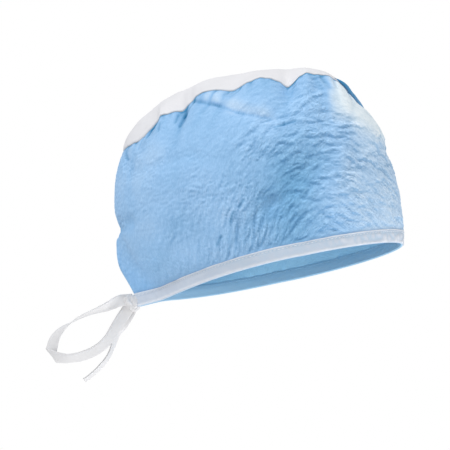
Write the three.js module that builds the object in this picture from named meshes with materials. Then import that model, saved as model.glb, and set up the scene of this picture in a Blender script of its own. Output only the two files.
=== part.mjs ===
// Tie-back surgical cap, as it sits on a head.
//
// A blue crepe side panel goes round the head and is gathered into a long white crown panel.
// White tape is folded over the side panel's lower edge. Behind the head the tape's two ends
// are drawn together and knotted, and go on as a loop and a loose tail.
//
// Millimetres. +X is the forehead, +Y the wearer's left, +Z up. The origin is the middle of
// the head opening, which is tilted: the front of the brim is higher than the back.

import * as THREE from 'three';

// ---------------------------------------------------------------- driving dimensions

const PANEL_WALL = 1.0;
const SEAM_ALLOWANCE = 5;
const SEAM_GAP = 0.7;
const SEWN_GAP = 0.35;

const BINDING_WIDTH = 9.5;
const BINDING_WALL = 0.8;

const TAPE_WIDTH = 9.0;
const TAPE_WALL = 1.0;

// The crown's height over its seam, how much fuller it is behind, and the powers of the curves
// by which it runs out: in front, behind, and from the middle to the seam.
const CROWN_RISE = 14.5;
const CROWN_FULLNESS = 0.45;
const CROWN_FRONT_CURVE = 2.5;
const CROWN_BACK_CURVE = 5;
const CROWN_ROUNDNESS = 2.2;

// The sewn allowances of the crown seam point at this place inside the head.
const HEAD_CENTRE = new THREE.Vector3(-15, 0, 60);

// Half of the slit behind the head, which the knot draws together, and how softly the two
// sides come together in front of it.
const SLIT_HALF = 2.8;
const CORNER_EASE = 0.1;

// Levels of the side panel, as in RINGS: where its folds begin above the brim and are at their
// full depth, and where the seam's gathers begin.
const FOLDS_BEGIN = 0.07;
const FOLDS_FULL = 0.25;
const GATHERS_BEGIN = 0.7;

const KNOT = { front: -105.5, back: -112.6, top: -15.4, bottom: -27.2, halfDepth: 3.8, bevel: 1.6 };

const BLUE = 0x9fc5e8;
const WHITE = 0xf2f4f6;
const TAPE_WHITE = 0xe4ebf2;

// ---------------------------------------------------------------- mesh fineness

const STATIONS = 46;
const CROWN_CELLS = 8;
const FRONT_SHARE = 0.4;
const TAPE_STEP = 3.2;

// Where a tape bends within its own width, its section is stretched to keep the width, but no
// more than this share of a straight cut.
const LEAST_SLANT = 0.6;

// The heights of the side panel's rows, as shares of the way from the brim to the crown seam.
// The first cell is as high as the binding, and the slit ends at the row SLIT_TOP_ROW.
const ROWS = [0, 0.07, 0.15, 0.23, 0.31, 0.39, 0.49, 0.59, 0.69, 0.79, 0.87, 0.94, 1];
const SLIT_TOP_ROW = 5;

// ---------------------------------------------------------------- the form

// Level rings of the side panel, from the brim (level 0) to the crown seam (level 1).
// backX, backZ and frontX, frontZ are its ends on the centre plane. It is widest at sideX,
// at halfWidth to each side, and sideZ high there. frontArch and backArch say how flat it
// runs before it drops to its ends. taper and corner shape its back quarter in plan: corner 1
// comes to a point, corner 2 is round. closedAt is where its two sides meet, as a share of
// the way back.
const RINGS = [
  { level: 0.00, backX: -103.2, backZ: -24.6, sideX: 20, halfWidth: 87.0, sideZ: 5.0,
    frontX: 103.0, frontZ: 22.9, frontArch: 1.0, backArch: 1.0, taper: 2.6, corner: 1.0, closedAt: 0.84 },
  { level: 0.07, backX: -105.3, backZ: -15.7, sideX: 20, halfWidth: 88.4, sideZ: 14.8,
    frontX: 103.6, frontZ: 32.5, frontArch: 1.0, backArch: 1.0, taper: 2.6, corner: 1.0, closedAt: 0.845 },
  { level: 0.12, backX: -110.8, backZ: -5.8, sideX: 20, halfWidth: 89.4, sideZ: 21.8,
    frontX: 103.5, frontZ: 37.0, frontArch: 1.0, backArch: 1.0, taper: 2.5, corner: 1.12, closedAt: 0.89 },
  { level: 0.20, backX: -117.4, backZ: 6.0, sideX: 19, halfWidth: 90.6, sideZ: 33.0,
    frontX: 102.8, frontZ: 44.0, frontArch: 1.1, backArch: 1.0, taper: 2.4, corner: 1.4, closedAt: 0.93 },
  { level: 0.34, backX: -119.8, backZ: 24.0, sideX: 18, halfWidth: 91.5, sideZ: 53.0,
    frontX: 101.2, frontZ: 57.0, frontArch: 1.2, backArch: 1.1, taper: 2.2, corner: 1.8, closedAt: 0.98 },
  { level: 0.48, backX: -119.8, backZ: 41.0, sideX: 16, halfWidth: 90.5, sideZ: 73.0,
    frontX: 98.6, frontZ: 70.0, frontArch: 1.5, backArch: 1.25, taper: 2.0, corner: 2.0, closedAt: 1 },
  { level: 0.62, backX: -121.6, backZ: 57.0, sideX: 14, halfWidth: 86.5, sideZ: 93.0,
    frontX: 95.2, frontZ: 83.0, frontArch: 1.9, backArch: 1.4, taper: 2.0, corner: 2.0, closedAt: 1 },
  { level: 0.75, backX: -121.0, backZ: 71.5, sideX: 14, halfWidth: 79.0, sideZ: 111.0,
    frontX: 91.6, frontZ: 95.5, frontArch: 2.4, backArch: 1.6, taper: 2.0, corner: 2.0, closedAt: 1 },
  { level: 0.88, backX: -118.4, backZ: 85.0, sideX: 16, halfWidth: 67.0, sideZ: 129.5,
    frontX: 87.6, frontZ: 108.0, frontArch: 3.0, backArch: 1.8, taper: 2.0, corner: 2.0, closedAt: 1 },
  { level: 1.00, backX: -115.0, backZ: 97.5, sideX: 20, halfWidth: 50.0, sideZ: 146.5,
    frontX: 75.0, frontZ: 118.5, frontArch: 3.7, backArch: 1.9, taper: 2.0, corner: 2.0, closedAt: 1 },
];

// Gathers of the crown seam, front to back on each side: where the seam is lifted or pulled
// down from its even arch, and over what length. side -1 is the wearer's right, 1 the left.
const GATHERS = [
  { side: -1, x: 62, lift: -2.5, spread: 10 },
  { side: -1, x: 45, lift: 3.5, spread: 9 },
  { side: -1, x: 27, lift: 4.0, spread: 7 },
  { side: -1, x: 13, lift: -6.5, spread: 8 },
  { side: -1, x: -8, lift: 2.5, spread: 8 },
  { side: -1, x: -29, lift: -3.0, spread: 8 },
  { side: -1, x: -56, lift: 4.6, spread: 9 },
  { side: -1, x: -69, lift: -4.0, spread: 6 },
  { side: -1, x: -86, lift: 3.6, spread: 8 },
  { side: -1, x: -104, lift: -5.0, spread: 8 },
  { side: 1, x: 58, lift: 2.0, spread: 9 },
  { side: 1, x: 30, lift: -3.5, spread: 8 },
  { side: 1, x: 6, lift: 2.5, spread: 9 },
  { side: 1, x: -22, lift: -3.0, spread: 8 },
  { side: 1, x: -46, lift: 2.6, spread: 9 },
  { side: 1, x: -74, lift: -3.5, spread: 7 },
  { side: 1, x: -97, lift: 2.0, spread: 8 },
];

// Folds and dents of the side panel, each a line from one point to another on the right,
// left, front or back of the cap: [x, z] on the right and left, [y, z] in front and behind.
// A positive depth is a dent, a negative one a ridge.
const FOLDS = [
  { face: 'right', from: [22, 66], to: [2, 44], width: 15, depth: 4.5 },
  { face: 'right', from: [-8, 40], to: [-30, 20], width: 9, depth: 3.0 },
  { face: 'right', from: [-62, 131], to: [-28, 118], width: 5, depth: 2.4 },
  { face: 'right', from: [-55, 122], to: [-18, 106], width: 8, depth: -2.0 },
  { face: 'right', from: [-68, 124], to: [-67, 114], width: 4, depth: 1.8 },
  { face: 'right', from: [-88, 117], to: [-94, 106], width: 4, depth: 1.8 },
  { face: 'right', from: [-112, 90], to: [-108, 80], width: 5, depth: 2.0 },
  { face: 'right', from: [-106, 74], to: [-60, 82], width: 6, depth: 1.6 },
  { face: 'right', from: [14, 138], to: [6, 112], width: 9, depth: 2.2 },
  { face: 'right', from: [52, 130], to: [80, 92], width: 12, depth: -2.0 },
  { face: 'right', from: [-72, 28], to: [-90, -2], width: 8, depth: 2.2 },
  { face: 'left', from: [30, 138], to: [24, 108], width: 8, depth: 2.2 },
  { face: 'left', from: [-22, 134], to: [-12, 104], width: 7, depth: 2.0 },
  { face: 'left', from: [-74, 118], to: [-60, 92], width: 6, depth: 2.2 },
  { face: 'left', from: [40, 84], to: [0, 52], width: 13, depth: 3.6 },
  { face: 'left', from: [-40, 40], to: [-80, 4], width: 9, depth: 2.8 },
  { face: 'back', from: [-34, 36], to: [30, 33], width: 7, depth: 4.0 },
  { face: 'back', from: [20, 84], to: [34, 56], width: 7, depth: 2.2 },
  { face: 'back', from: [-16, 22], to: [-10, 0], width: 5, depth: 1.8 },
  { face: 'back', from: [16, 24], to: [11, 2], width: 5, depth: 1.8 },
  { face: 'front', from: [-30, 96], to: [26, 90], width: 7, depth: 1.8 },
];

// The tape loop behind the knot: its middle line, and the direction across the tape. It leaves
// flat, rolls over along the upper leg, is folded at the far end and comes back to the knot.
const LOOP_ROUTE = [
  { at: [-113.2, -1.6, -20.2], across: [0.10, 0.00, 1.00] },
  { at: [-117.0, -2.2, -21.0], across: [0.25, -0.05, 0.97] },
  { at: [-122.0, -2.8, -23.0], across: [0.30, -0.35, 0.90] },
  { at: [-128.0, -3.2, -25.7], across: [0.28, -0.70, 0.66] },
  { at: [-134.0, -3.4, -28.1], across: [0.20, -0.88, 0.42] },
  { at: [-141.0, -3.4, -30.8], across: [0.10, -0.97, 0.22] },
  { at: [-148.0, -3.0, -34.0], across: [0.00, -1.00, 0.05] },
  { at: [-155.5, -2.0, -38.6], across: [0.12, -0.98, -0.15] },
  { at: [-160.8, -1.0, -42.6], across: [0.30, -0.86, -0.40] },
  { at: [-165.0, 0.0, -47.0], across: [0.60, -0.65, -0.46] },
  { at: [-167.6, 0.6, -51.8], across: [0.84, -0.42, -0.33] },
  { at: [-169.0, 0.9, -57.0], across: [0.90, -0.30, -0.25] },
  { at: [-169.6, 0.9, -60.4], across: [0.82, -0.10, -0.56] },
  { at: [-169.4, 0.0, -62.6], across: [0.64, 0.00, -0.77] },
  { at: [-167.2, -0.9, -63.8], across: [0.35, 0.30, -0.88] },
  { at: [-163.0, -0.9, -64.9], across: [-0.02, 0.55, -0.83] },
  { at: [-157.0, -0.7, -65.4], across: [0.02, 0.70, -0.71] },
  { at: [-149.5, -0.4, -64.5], across: [0.12, 0.70, -0.70] },
  { at: [-142.0, 0.0, -62.4], across: [0.26, 0.66, -0.70] },
  { at: [-135.5, 0.2, -59.3], across: [0.38, 0.62, -0.68] },
  { at: [-129.5, 0.3, -55.0], across: [0.50, 0.60, -0.62] },
  { at: [-124.6, 0.4, -49.4], across: [0.64, 0.60, -0.47] },
  { at: [-120.8, 0.5, -43.0], across: [0.72, 0.55, -0.42] },
  { at: [-117.0, 0.7, -36.8], across: [0.78, 0.40, -0.46] },
  { at: [-113.6, 0.8, -31.6], across: [0.80, 0.15, -0.56] },
  { at: [-111.5, 0.8, -28.6], across: [0.80, 0.00, -0.60] },
];

// The loose end, which hangs from the knot behind the loop's return leg and turns edge on.
const TAIL_ROUTE = [
  { at: [-108.6, 2.9, -28.2], across: [0.82, 0.00, -0.57] },
  { at: [-111.4, 4.0, -33.0], across: [0.82, 0.20, -0.52] },
  { at: [-115.0, 6.0, -39.0], across: [0.70, 0.55, -0.44] },
  { at: [-118.6, 8.0, -45.6], across: [0.42, 0.86, -0.26] },
  { at: [-121.6, 9.0, -52.8], across: [0.18, 0.98, -0.06] },
  { at: [-124.2, 9.2, -60.0], across: [0.15, 0.98, -0.05] },
  { at: [-127.6, 9.2, -66.0], across: [0.20, 0.97, -0.10] },
  { at: [-132.0, 9.2, -71.2], across: [0.20, 0.96, -0.15] },
  { at: [-136.8, 9.2, -75.9], across: [0.22, 0.95, -0.22] },
  { at: [-141.0, 9.2, -79.4], across: [0.24, 0.93, -0.28] },
  { at: [-144.4, 9.2, -81.7], across: [0.26, 0.92, -0.30] },
];

// ---------------------------------------------------------------- small helpers

const smooth = (low, high, value) => THREE.MathUtils.smoothstep(value, low, high);

/** A value between the rows of a table: a smooth curve through the rows' values. */
function between(rows, key, level) {
  const last = rows.length - 1;
  let k = 0;
  while (k < last - 1 && level > rows[k + 1].level) k += 1;
  const slope = (i) => {
    const a = rows[Math.max(i - 1, 0)];
    const b = rows[Math.min(i + 1, last)];
    return (b[key] - a[key]) / (b.level - a.level);
  };
  const span = rows[k + 1].level - rows[k].level;
  const t = (level - rows[k].level) / span;
  const rise = rows[k + 1][key] - rows[k][key];
  const startBend = slope(k) * span - rise;
  const endBend = rise - slope(k + 1) * span;
  return rows[k][key] + rise * t + t * (1 - t) * (startBend * (1 - t) + endBend * t);
}

/** How near a point of a face is to a line on it: 1 on the line, falling off over width. */
function nearness(a, z, fold) {
  const [fromA, fromZ] = fold.from;
  const alongA = fold.to[0] - fromA;
  const alongZ = fold.to[1] - fromZ;
  const reach = ((a - fromA) * alongA + (z - fromZ) * alongZ) / (alongA ** 2 + alongZ ** 2);
  const t = THREE.MathUtils.clamp(reach, 0, 1);
  const gap = Math.hypot(a - fromA - t * alongA, z - fromZ - t * alongZ);
  return Math.exp(-((gap / fold.width) ** 2));
}

/** How much a point belongs to one face of the cap, from 0 to 1. */
const FACES = {
  right: (p) => smooth(5, 25, -p.y),
  left: (p) => smooth(5, 25, p.y),
  back: (p) => smooth(70, 100, -p.x),
  front: (p) => smooth(60, 90, p.x),
};

/** How deep the folds push a point in. */
function foldDepth(p) {
  let depth = 0;
  for (const fold of FOLDS) {
    const sideways = fold.face === 'right' || fold.face === 'left';
    depth += fold.depth * FACES[fold.face](p) * nearness(sideways ? p.x : p.y, p.z, fold);
  }
  return depth;
}

// ---------------------------------------------------------------- the side panel's surface

/** A point of the even form. around runs from -1, behind on the right, through 0 in front. */
function ringPoint(around, level) {
  const side = Math.sign(around);
  const share = Math.abs(around);
  const at = (key) => between(RINGS, key, level);
  const slit = SLIT_HALF * Math.sqrt(Math.max(0, 1 - (level / ROWS[SLIT_TOP_ROW]) ** 2));
  if (share <= FRONT_SHARE) {
    const turn = (share / FRONT_SHARE) * (Math.PI / 2);
    const t = Math.cos(turn);
    return new THREE.Vector3(
      at('sideX') + (at('frontX') - at('sideX')) * t,
      side * at('halfWidth') * Math.sin(turn),
      at('sideZ') + (at('frontZ') - at('sideZ')) * t ** at('frontArch'),
    );
  }
  const quarter = (share - FRONT_SHARE) / (1 - FRONT_SHARE);
  const roundness = Math.min(at('corner') - 1, 1);
  const t = (1 - roundness) * quarter + roundness * Math.sin(quarter * (Math.PI / 2));
  const open = 1 - (t / at('closedAt')) ** at('taper');
  const softened = (open + Math.hypot(open, CORNER_EASE * (1 - roundness))) / 2;
  const plan = softened ** (1 / at('corner'));
  return new THREE.Vector3(
    at('sideX') + (at('backX') - at('sideX')) * t,
    side * (slit + (at('halfWidth') - slit) * plan),
    at('sideZ') + (at('backZ') - at('sideZ')) * t ** at('backArch'),
  );
}

/** The outward direction of the even form. */
function ringNormal(around, level) {
  const step = 0.004;
  const a = THREE.MathUtils.clamp(around, step - 1, 1 - step);
  const l = THREE.MathUtils.clamp(level, step, 1 - step);
  const alongRing = ringPoint(a + step, l).sub(ringPoint(a - step, l));
  const upward = ringPoint(a, l + step).sub(ringPoint(a, l - step));
  return alongRing.cross(upward).normalize();
}

/** How far the gathers lift the seam at a point of it. */
function gatherLift(p) {
  let lift = 0;
  for (const gather of GATHERS) {
    if (gather.side * p.y > 0) lift += gather.lift * Math.exp(-(((p.x - gather.x) / gather.spread) ** 2));
  }
  return lift;
}

/** A point of the side panel's outer face, with its folds and gathers. */
function panelPoint(around, level) {
  const p = ringPoint(around, level);
  p.z += gatherLift(p) * smooth(GATHERS_BEGIN, 1, level);
  const depth = foldDepth(p) * smooth(FOLDS_BEGIN, FOLDS_FULL, level);
  return p.addScaledVector(ringNormal(around, level), -depth);
}

// ---------------------------------------------------------------- sheets and walls

/** An open sheet of points and triangles, with the direction of its outer face at each point. */
class Sheet {
  constructor() {
    this.points = [];
    this.triangles = [];
  }

  add(point) {
    this.points.push(point);
    return this.points.length - 1;
  }

  quad(a, b, c, d) {
    if (a !== b && b !== c && c !== a) this.triangles.push([a, b, c]);
    if (a !== c && c !== d && d !== a) this.triangles.push([a, c, d]);
  }

  normals() {
    const normals = this.points.map(() => new THREE.Vector3());
    for (const [a, b, c] of this.triangles) {
      const [p, q, r] = [this.points[a], this.points[b], this.points[c]];
      const face = q.clone().sub(p).cross(r.clone().sub(p));
      for (const corner of [a, b, c]) normals[corner].add(face);
    }
    return normals.map((n) => n.normalize());
  }
}

function meshOf(name, points, triangles, color, roughness) {
  const geometry = new THREE.BufferGeometry();
  geometry.setAttribute('position', new THREE.Float32BufferAttribute(points.flatMap((p) => p.toArray()), 3));
  geometry.setIndex(triangles.flat());
  geometry.computeVertexNormals();
  return named(name, geometry, color, roughness);
}

function named(name, geometry, color, roughness) {
  const mesh = new THREE.Mesh(geometry, new THREE.MeshStandardMaterial({ color, roughness, metalness: 0 }));
  mesh.name = name;
  return mesh;
}

/** The side panel's outer sheet, and the loop of its points along the crown seam. */
function sidePanelSheet() {
  const sheet = new Sheet();
  const columns = 2 * STATIONS;
  const grid = ROWS.map((level, row) => {
    const ids = [];
    for (let i = 0; i < columns; i += 1) ids.push(sheet.add(panelPoint(i / STATIONS - 1, level)));
    if (row < SLIT_TOP_ROW) {
      ids.push(sheet.add(panelPoint(1, level)));
    } else {
      sheet.points[ids[0]].lerp(panelPoint(1, level), 0.5);
      ids.push(ids[0]);
    }
    return ids;
  });
  for (let row = 0; row < ROWS.length - 1; row += 1) {
    for (let i = 0; i < columns; i += 1) {
      sheet.quad(grid[row][i], grid[row][i + 1], grid[row + 1][i + 1], grid[row + 1][i]);
    }
  }
  return { sheet, grid, seam: grid[ROWS.length - 1].slice(0, columns) };
}

/** How high the crown stands over the seam's even arch at one rib. It is fullest behind. */
function crownRise(share) {
  if (share < FRONT_SHARE) {
    const turn = (share / FRONT_SHARE) * (Math.PI / 2);
    return CROWN_RISE * Math.sin(turn) ** CROWN_FRONT_CURVE;
  }
  const quarter = (share - FRONT_SHARE) / (1 - FRONT_SHARE);
  const fullness = 1 + CROWN_FULLNESS * Math.sin(quarter * Math.PI) ** 2;
  return CROWN_RISE * fullness * (1 - quarter ** CROWN_BACK_CURVE);
}

/** The crown panel's outer sheet: ribs from the right of the seam over the top to its left. */
function crownSheet(seamPoints) {
  const sheet = new Sheet();
  const seam = seamPoints.map((p) => sheet.add(p.clone()));
  const ribs = [];
  for (let station = 0; station <= STATIONS; station += 1) {
    const right = seam[STATIONS - station];
    const left = seam[(STATIONS + station) % seam.length];
    const share = station / STATIONS;
    const even = ringPoint(share, 1).z;
    const rib = [right];
    for (let cell = 1; cell < CROWN_CELLS; cell += 1) {
      if (right === left) {
        rib.push(right);
        continue;
      }
      const across = (2 * cell) / CROWN_CELLS - 1;
      const point = sheet.points[right].clone().lerp(sheet.points[left], (across + 1) / 2);
      const fromSeam = 1 - Math.abs(across) ** CROWN_ROUNDNESS;
      point.z += (even - point.z) * fromSeam + crownRise(share) * fromSeam;
      rib.push(sheet.add(point));
    }
    rib.push(left);
    ribs.push(rib);
  }
  for (let station = 0; station < STATIONS; station += 1) {
    const [a, b] = [ribs[station], ribs[station + 1]];
    for (let cell = 0; cell < CROWN_CELLS; cell += 1) sheet.quad(a[cell], a[cell + 1], b[cell + 1], b[cell]);
  }
  return { sheet, seam };
}

/** The direction from each seam point into its own sheet, square to the seam. */
function awayFromSeam(sheet, seam, turn) {
  const normals = sheet.normals();
  return seam.map((id, i) => {
    const before = sheet.points[seam[(i + seam.length - 1) % seam.length]];
    const after = sheet.points[seam[(i + 1) % seam.length]];
    const along = after.clone().sub(before);
    return along.cross(normals[id]).multiplyScalar(turn).normalize();
  });
}

/**
 * Gives a sheet its wall, and turns its edge in along the seam as a sewn allowance.
 * Each row of joint gives the directions at a seam point: ownSide from the seam into the
 * sheet, inward along the allowances, and toOwn square to them, towards this sheet's own.
 */
function sewnWall(sheet, seam, joint, openEdges) {
  const normals = sheet.normals();
  const outer = sheet.points.map((p) => p.clone());
  const inner = sheet.points.map((p, id) => p.clone().addScaledVector(normals[id], -PANEL_WALL));
  const tipFar = [];
  const tipNear = [];
  seam.forEach((id, i) => {
    const { ownSide, inward, toOwn } = joint[i];
    const start = sheet.points[id].clone().addScaledVector(toOwn, SEAM_GAP / 2);
    const halfAngle = ownSide.angleTo(inward) / 2;
    const mitre = ownSide.clone().add(inward).normalize();
    outer[id].copy(start);
    inner[id].copy(start).addScaledVector(mitre, PANEL_WALL / Math.sin(halfAngle));
    tipNear.push(start.clone().addScaledVector(inward, SEAM_ALLOWANCE));
    tipFar.push(tipNear[i].clone().addScaledVector(toOwn, PANEL_WALL));
  });
  const count = outer.length;
  const points = [...outer, ...inner, ...tipNear, ...tipFar];
  const triangles = [...sheet.triangles];
  for (const [a, b, c] of sheet.triangles) triangles.push([a + count, c + count, b + count]);
  const strip = (a, b, c, d) => triangles.push([a, b, c], [a, c, d]);
  const near = (i) => 2 * count + i;
  const far = (i) => 2 * count + seam.length + i;
  for (let i = 0; i < seam.length; i += 1) {
    const j = (i + 1) % seam.length;
    strip(seam[i], seam[j], near(j), near(i));
    strip(near(i), near(j), far(j), far(i));
    strip(far(i), far(j), seam[j] + count, seam[i] + count);
  }
  for (const [a, b] of openEdges) strip(a, b, b + count, a + count);
  return { points, triangles };
}

// ---------------------------------------------------------------- the pieces

function panels() {
  const side = sidePanelSheet();
  const crown = crownSheet(side.seam.map((id) => side.sheet.points[id]));
  const down = awayFromSeam(side.sheet, side.seam, 1);
  const over = awayFromSeam(crown.sheet, crown.seam, -1);
  const joint = down.map((direction, i) => {
    const toCrown = over[i].clone().sub(direction).normalize();
    const seamPoint = side.sheet.points[side.seam[i]];
    const inward = HEAD_CENTRE.clone().sub(seamPoint);
    inward.addScaledVector(toCrown, -inward.dot(toCrown)).normalize();
    return { inward, toCrown };
  });
  const sideJoint = joint.map(({ inward, toCrown }, i) => (
    { ownSide: down[i], inward, toOwn: toCrown.clone().negate() }
  ));
  const crownJoint = joint.map(({ inward, toCrown }, i) => ({ ownSide: over[i], inward, toOwn: toCrown }));
  const edges = [];
  const columns = 2 * STATIONS;
  for (let i = 0; i < columns; i += 1) edges.push([side.grid[0][i + 1], side.grid[0][i]]);
  for (let row = 0; row < SLIT_TOP_ROW; row += 1) {
    edges.push([side.grid[row][0], side.grid[row + 1][0]]);
    edges.push([side.grid[row + 1][columns], side.grid[row][columns]]);
  }
  const sideWall = sewnWall(side.sheet, side.seam, sideJoint, edges);
  const crownWall = sewnWall(crown.sheet, crown.seam.reverse(), crownJoint.reverse(), []);
  return [
    meshOf('side_panel', sideWall.points, sideWall.triangles, BLUE, 0.85),
    meshOf('crown_panel', crownWall.points, crownWall.triangles, WHITE, 0.8),
  ];
}

/** Tape folded over the side panel's lower edge, from one side of the slit to the other. */
function brimBinding() {
  const { sheet, grid } = sidePanelSheet();
  const normals = sheet.normals();
  const face = SEWN_GAP;
  const back = PANEL_WALL + SEWN_GAP;
  const section = [
    [face + BINDING_WALL, -face - BINDING_WALL],
    [face + BINDING_WALL, BINDING_WIDTH],
    [face, BINDING_WIDTH],
    [face, -face],
    [-back, -face],
    [-back, BINDING_WIDTH],
    [-back - BINDING_WALL, BINDING_WIDTH],
    [-back - BINDING_WALL, -face - BINDING_WALL],
  ];
  const sides = section.length;
  const points = [];
  const triangles = [];
  const strip = (a, b, c, d) => triangles.push([a, b, c], [a, c, d]);
  grid[0].forEach((id, i) => {
    const edge = sheet.points[id];
    const above = sheet.points[grid[1][i]];
    const rise = above.clone().sub(edge);
    const up = rise.clone().normalize();
    for (const [out, height] of section) {
      const share = THREE.MathUtils.clamp(height / rise.length(), 0, 1);
      const normal = normals[id].clone().lerp(normals[grid[1][i]], share).normalize();
      points.push(edge.clone().addScaledVector(up, height).addScaledVector(normal, out));
    }
  });
  const last = grid[0].length - 1;
  // Each face is split along the same diagonal as the panel's own, so that twisted faces nest.
  for (let i = 0; i < last; i += 1) {
    for (let k = 0; k < sides; k += 1) {
      const next = (k + 1) % sides;
      const corners = [i * sides + k, (i + 1) * sides + k, (i + 1) * sides + next, i * sides + next];
      if (section[next][1] < section[k][1]) corners.push(corners.shift());
      strip(...corners);
    }
  }
  const cap = (start, flip) => {
    for (const [a, b, c, d] of [[0, 1, 2, 3], [0, 3, 4, 7], [4, 5, 6, 7]]) {
      const corners = [a, b, c, d].map((k) => start + k);
      strip(...(flip ? corners.reverse() : corners));
    }
  };
  cap(0, false);
  cap(last * sides, true);
  return meshOf('brim_binding', points, triangles, TAPE_WHITE, 0.7);
}

/** The small hard knot that draws the two ends of the binding together. */
function tieKnot() {
  const { front, back, top, bottom, halfDepth, bevel } = KNOT;
  const outline = new THREE.Shape([
    new THREE.Vector2(front - bevel, bottom + 3.2),
    new THREE.Vector2(front - bevel, top - 2.2),
    new THREE.Vector2(front - 3.0, top - bevel),
    new THREE.Vector2(back + 3.2, top - bevel),
    new THREE.Vector2(back + bevel, top - 3.4),
    new THREE.Vector2(back + bevel, bottom + 4.6),
    new THREE.Vector2(back + 3.8, bottom + bevel),
    new THREE.Vector2(front - 2.6, bottom + bevel),
  ]);
  const depth = 2 * (halfDepth - bevel);
  const geometry = new THREE.ExtrudeGeometry(outline, {
    depth,
    bevelThickness: bevel,
    bevelSize: bevel,
    bevelSegments: 3,
  });
  geometry.rotateX(Math.PI / 2);
  geometry.translate(0, depth / 2, 0);
  return named('tie_knot', geometry, TAPE_WHITE, 0.7);
}

/** A flat tape: a straight extrusion of its section, then bent and turned along its route. */
function tape(name, route) {
  const middle = new THREE.CatmullRomCurve3(route.map((row) => new THREE.Vector3(...row.at)));
  const across = new THREE.CatmullRomCurve3(route.map((row) => new THREE.Vector3(...row.across)));
  middle.arcLengthDivisions = 800;
  const steps = Math.round(middle.getLength() / TAPE_STEP);
  const half = TAPE_WIDTH / 2;
  const edge = TAPE_WALL / 4;
  const skin = TAPE_WALL / 2;
  const section = new THREE.Shape([
    new THREE.Vector2(-half, -edge),
    new THREE.Vector2(-half + edge, -skin),
    new THREE.Vector2(half - edge, -skin),
    new THREE.Vector2(half, -edge),
    new THREE.Vector2(half, edge),
    new THREE.Vector2(half - edge, skin),
    new THREE.Vector2(-half + edge, skin),
    new THREE.Vector2(-half, edge),
  ]);
  const geometry = new THREE.ExtrudeGeometry(section, { depth: 1, steps, bevelEnabled: false });
  const position = geometry.getAttribute('position');
  for (let i = 0; i < position.count; i += 1) {
    const t = middle.getUtoTmapping(position.getZ(i));
    const tangent = middle.getTangent(t);
    const width = across.getPoint(t).normalize();
    const slant = width.clone().cross(tangent).length();
    const normal = tangent.clone().cross(width).normalize();
    const point = middle.getPoint(t).addScaledVector(width, position.getX(i) / Math.max(slant, LEAST_SLANT));
    point.addScaledVector(normal, position.getY(i));
    position.setXYZ(i, point.x, point.y, point.z);
  }
  return named(name, geometry, TAPE_WHITE, 0.7);
}

const cap = new THREE.Group();
cap.add(...panels(), brimBinding(), tieKnot(), tape('tie_loop', LOOP_ROUTE), tape('tie_tail', TAIL_ROUTE));

export default cap;
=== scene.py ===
"""Tie-back surgical cap: its crepe side panel, crown panel, tape binding, knot and ties.

The pieces lie where the frame's solids are. Each cloth piece is a thin wall whose form comes from
the tables below, and whose gathers, creases and crepe are modelled on top of that form.
Metres. +X is the forehead, +Y the wearer's left, +Z up.
"""

import math
import random

import bpy
import numpy as np
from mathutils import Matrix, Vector, noise


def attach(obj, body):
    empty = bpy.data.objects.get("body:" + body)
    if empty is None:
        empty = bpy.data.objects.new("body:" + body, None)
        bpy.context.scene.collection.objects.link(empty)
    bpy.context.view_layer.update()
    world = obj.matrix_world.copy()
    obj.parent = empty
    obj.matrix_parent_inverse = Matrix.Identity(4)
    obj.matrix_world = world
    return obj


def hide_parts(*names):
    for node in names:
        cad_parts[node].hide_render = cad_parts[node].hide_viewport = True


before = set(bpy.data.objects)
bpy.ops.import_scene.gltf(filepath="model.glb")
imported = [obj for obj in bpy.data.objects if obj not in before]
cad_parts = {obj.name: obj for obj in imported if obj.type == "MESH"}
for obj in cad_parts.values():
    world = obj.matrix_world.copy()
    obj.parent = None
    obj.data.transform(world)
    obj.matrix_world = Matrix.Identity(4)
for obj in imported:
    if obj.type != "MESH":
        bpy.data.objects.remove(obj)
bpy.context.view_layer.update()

bl_info = {
    "name": "Tie-back surgical cap",
    "version": (1, 0, 0),
    "blender": (4, 5, 0),
    "location": "View3D > Sidebar > Surgical Cap",
    "description": "Makes the gathered panels, tape binding, knot and ties of a surgical cap",
    "category": "Add Mesh",
}

# ---------------- the form

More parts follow.
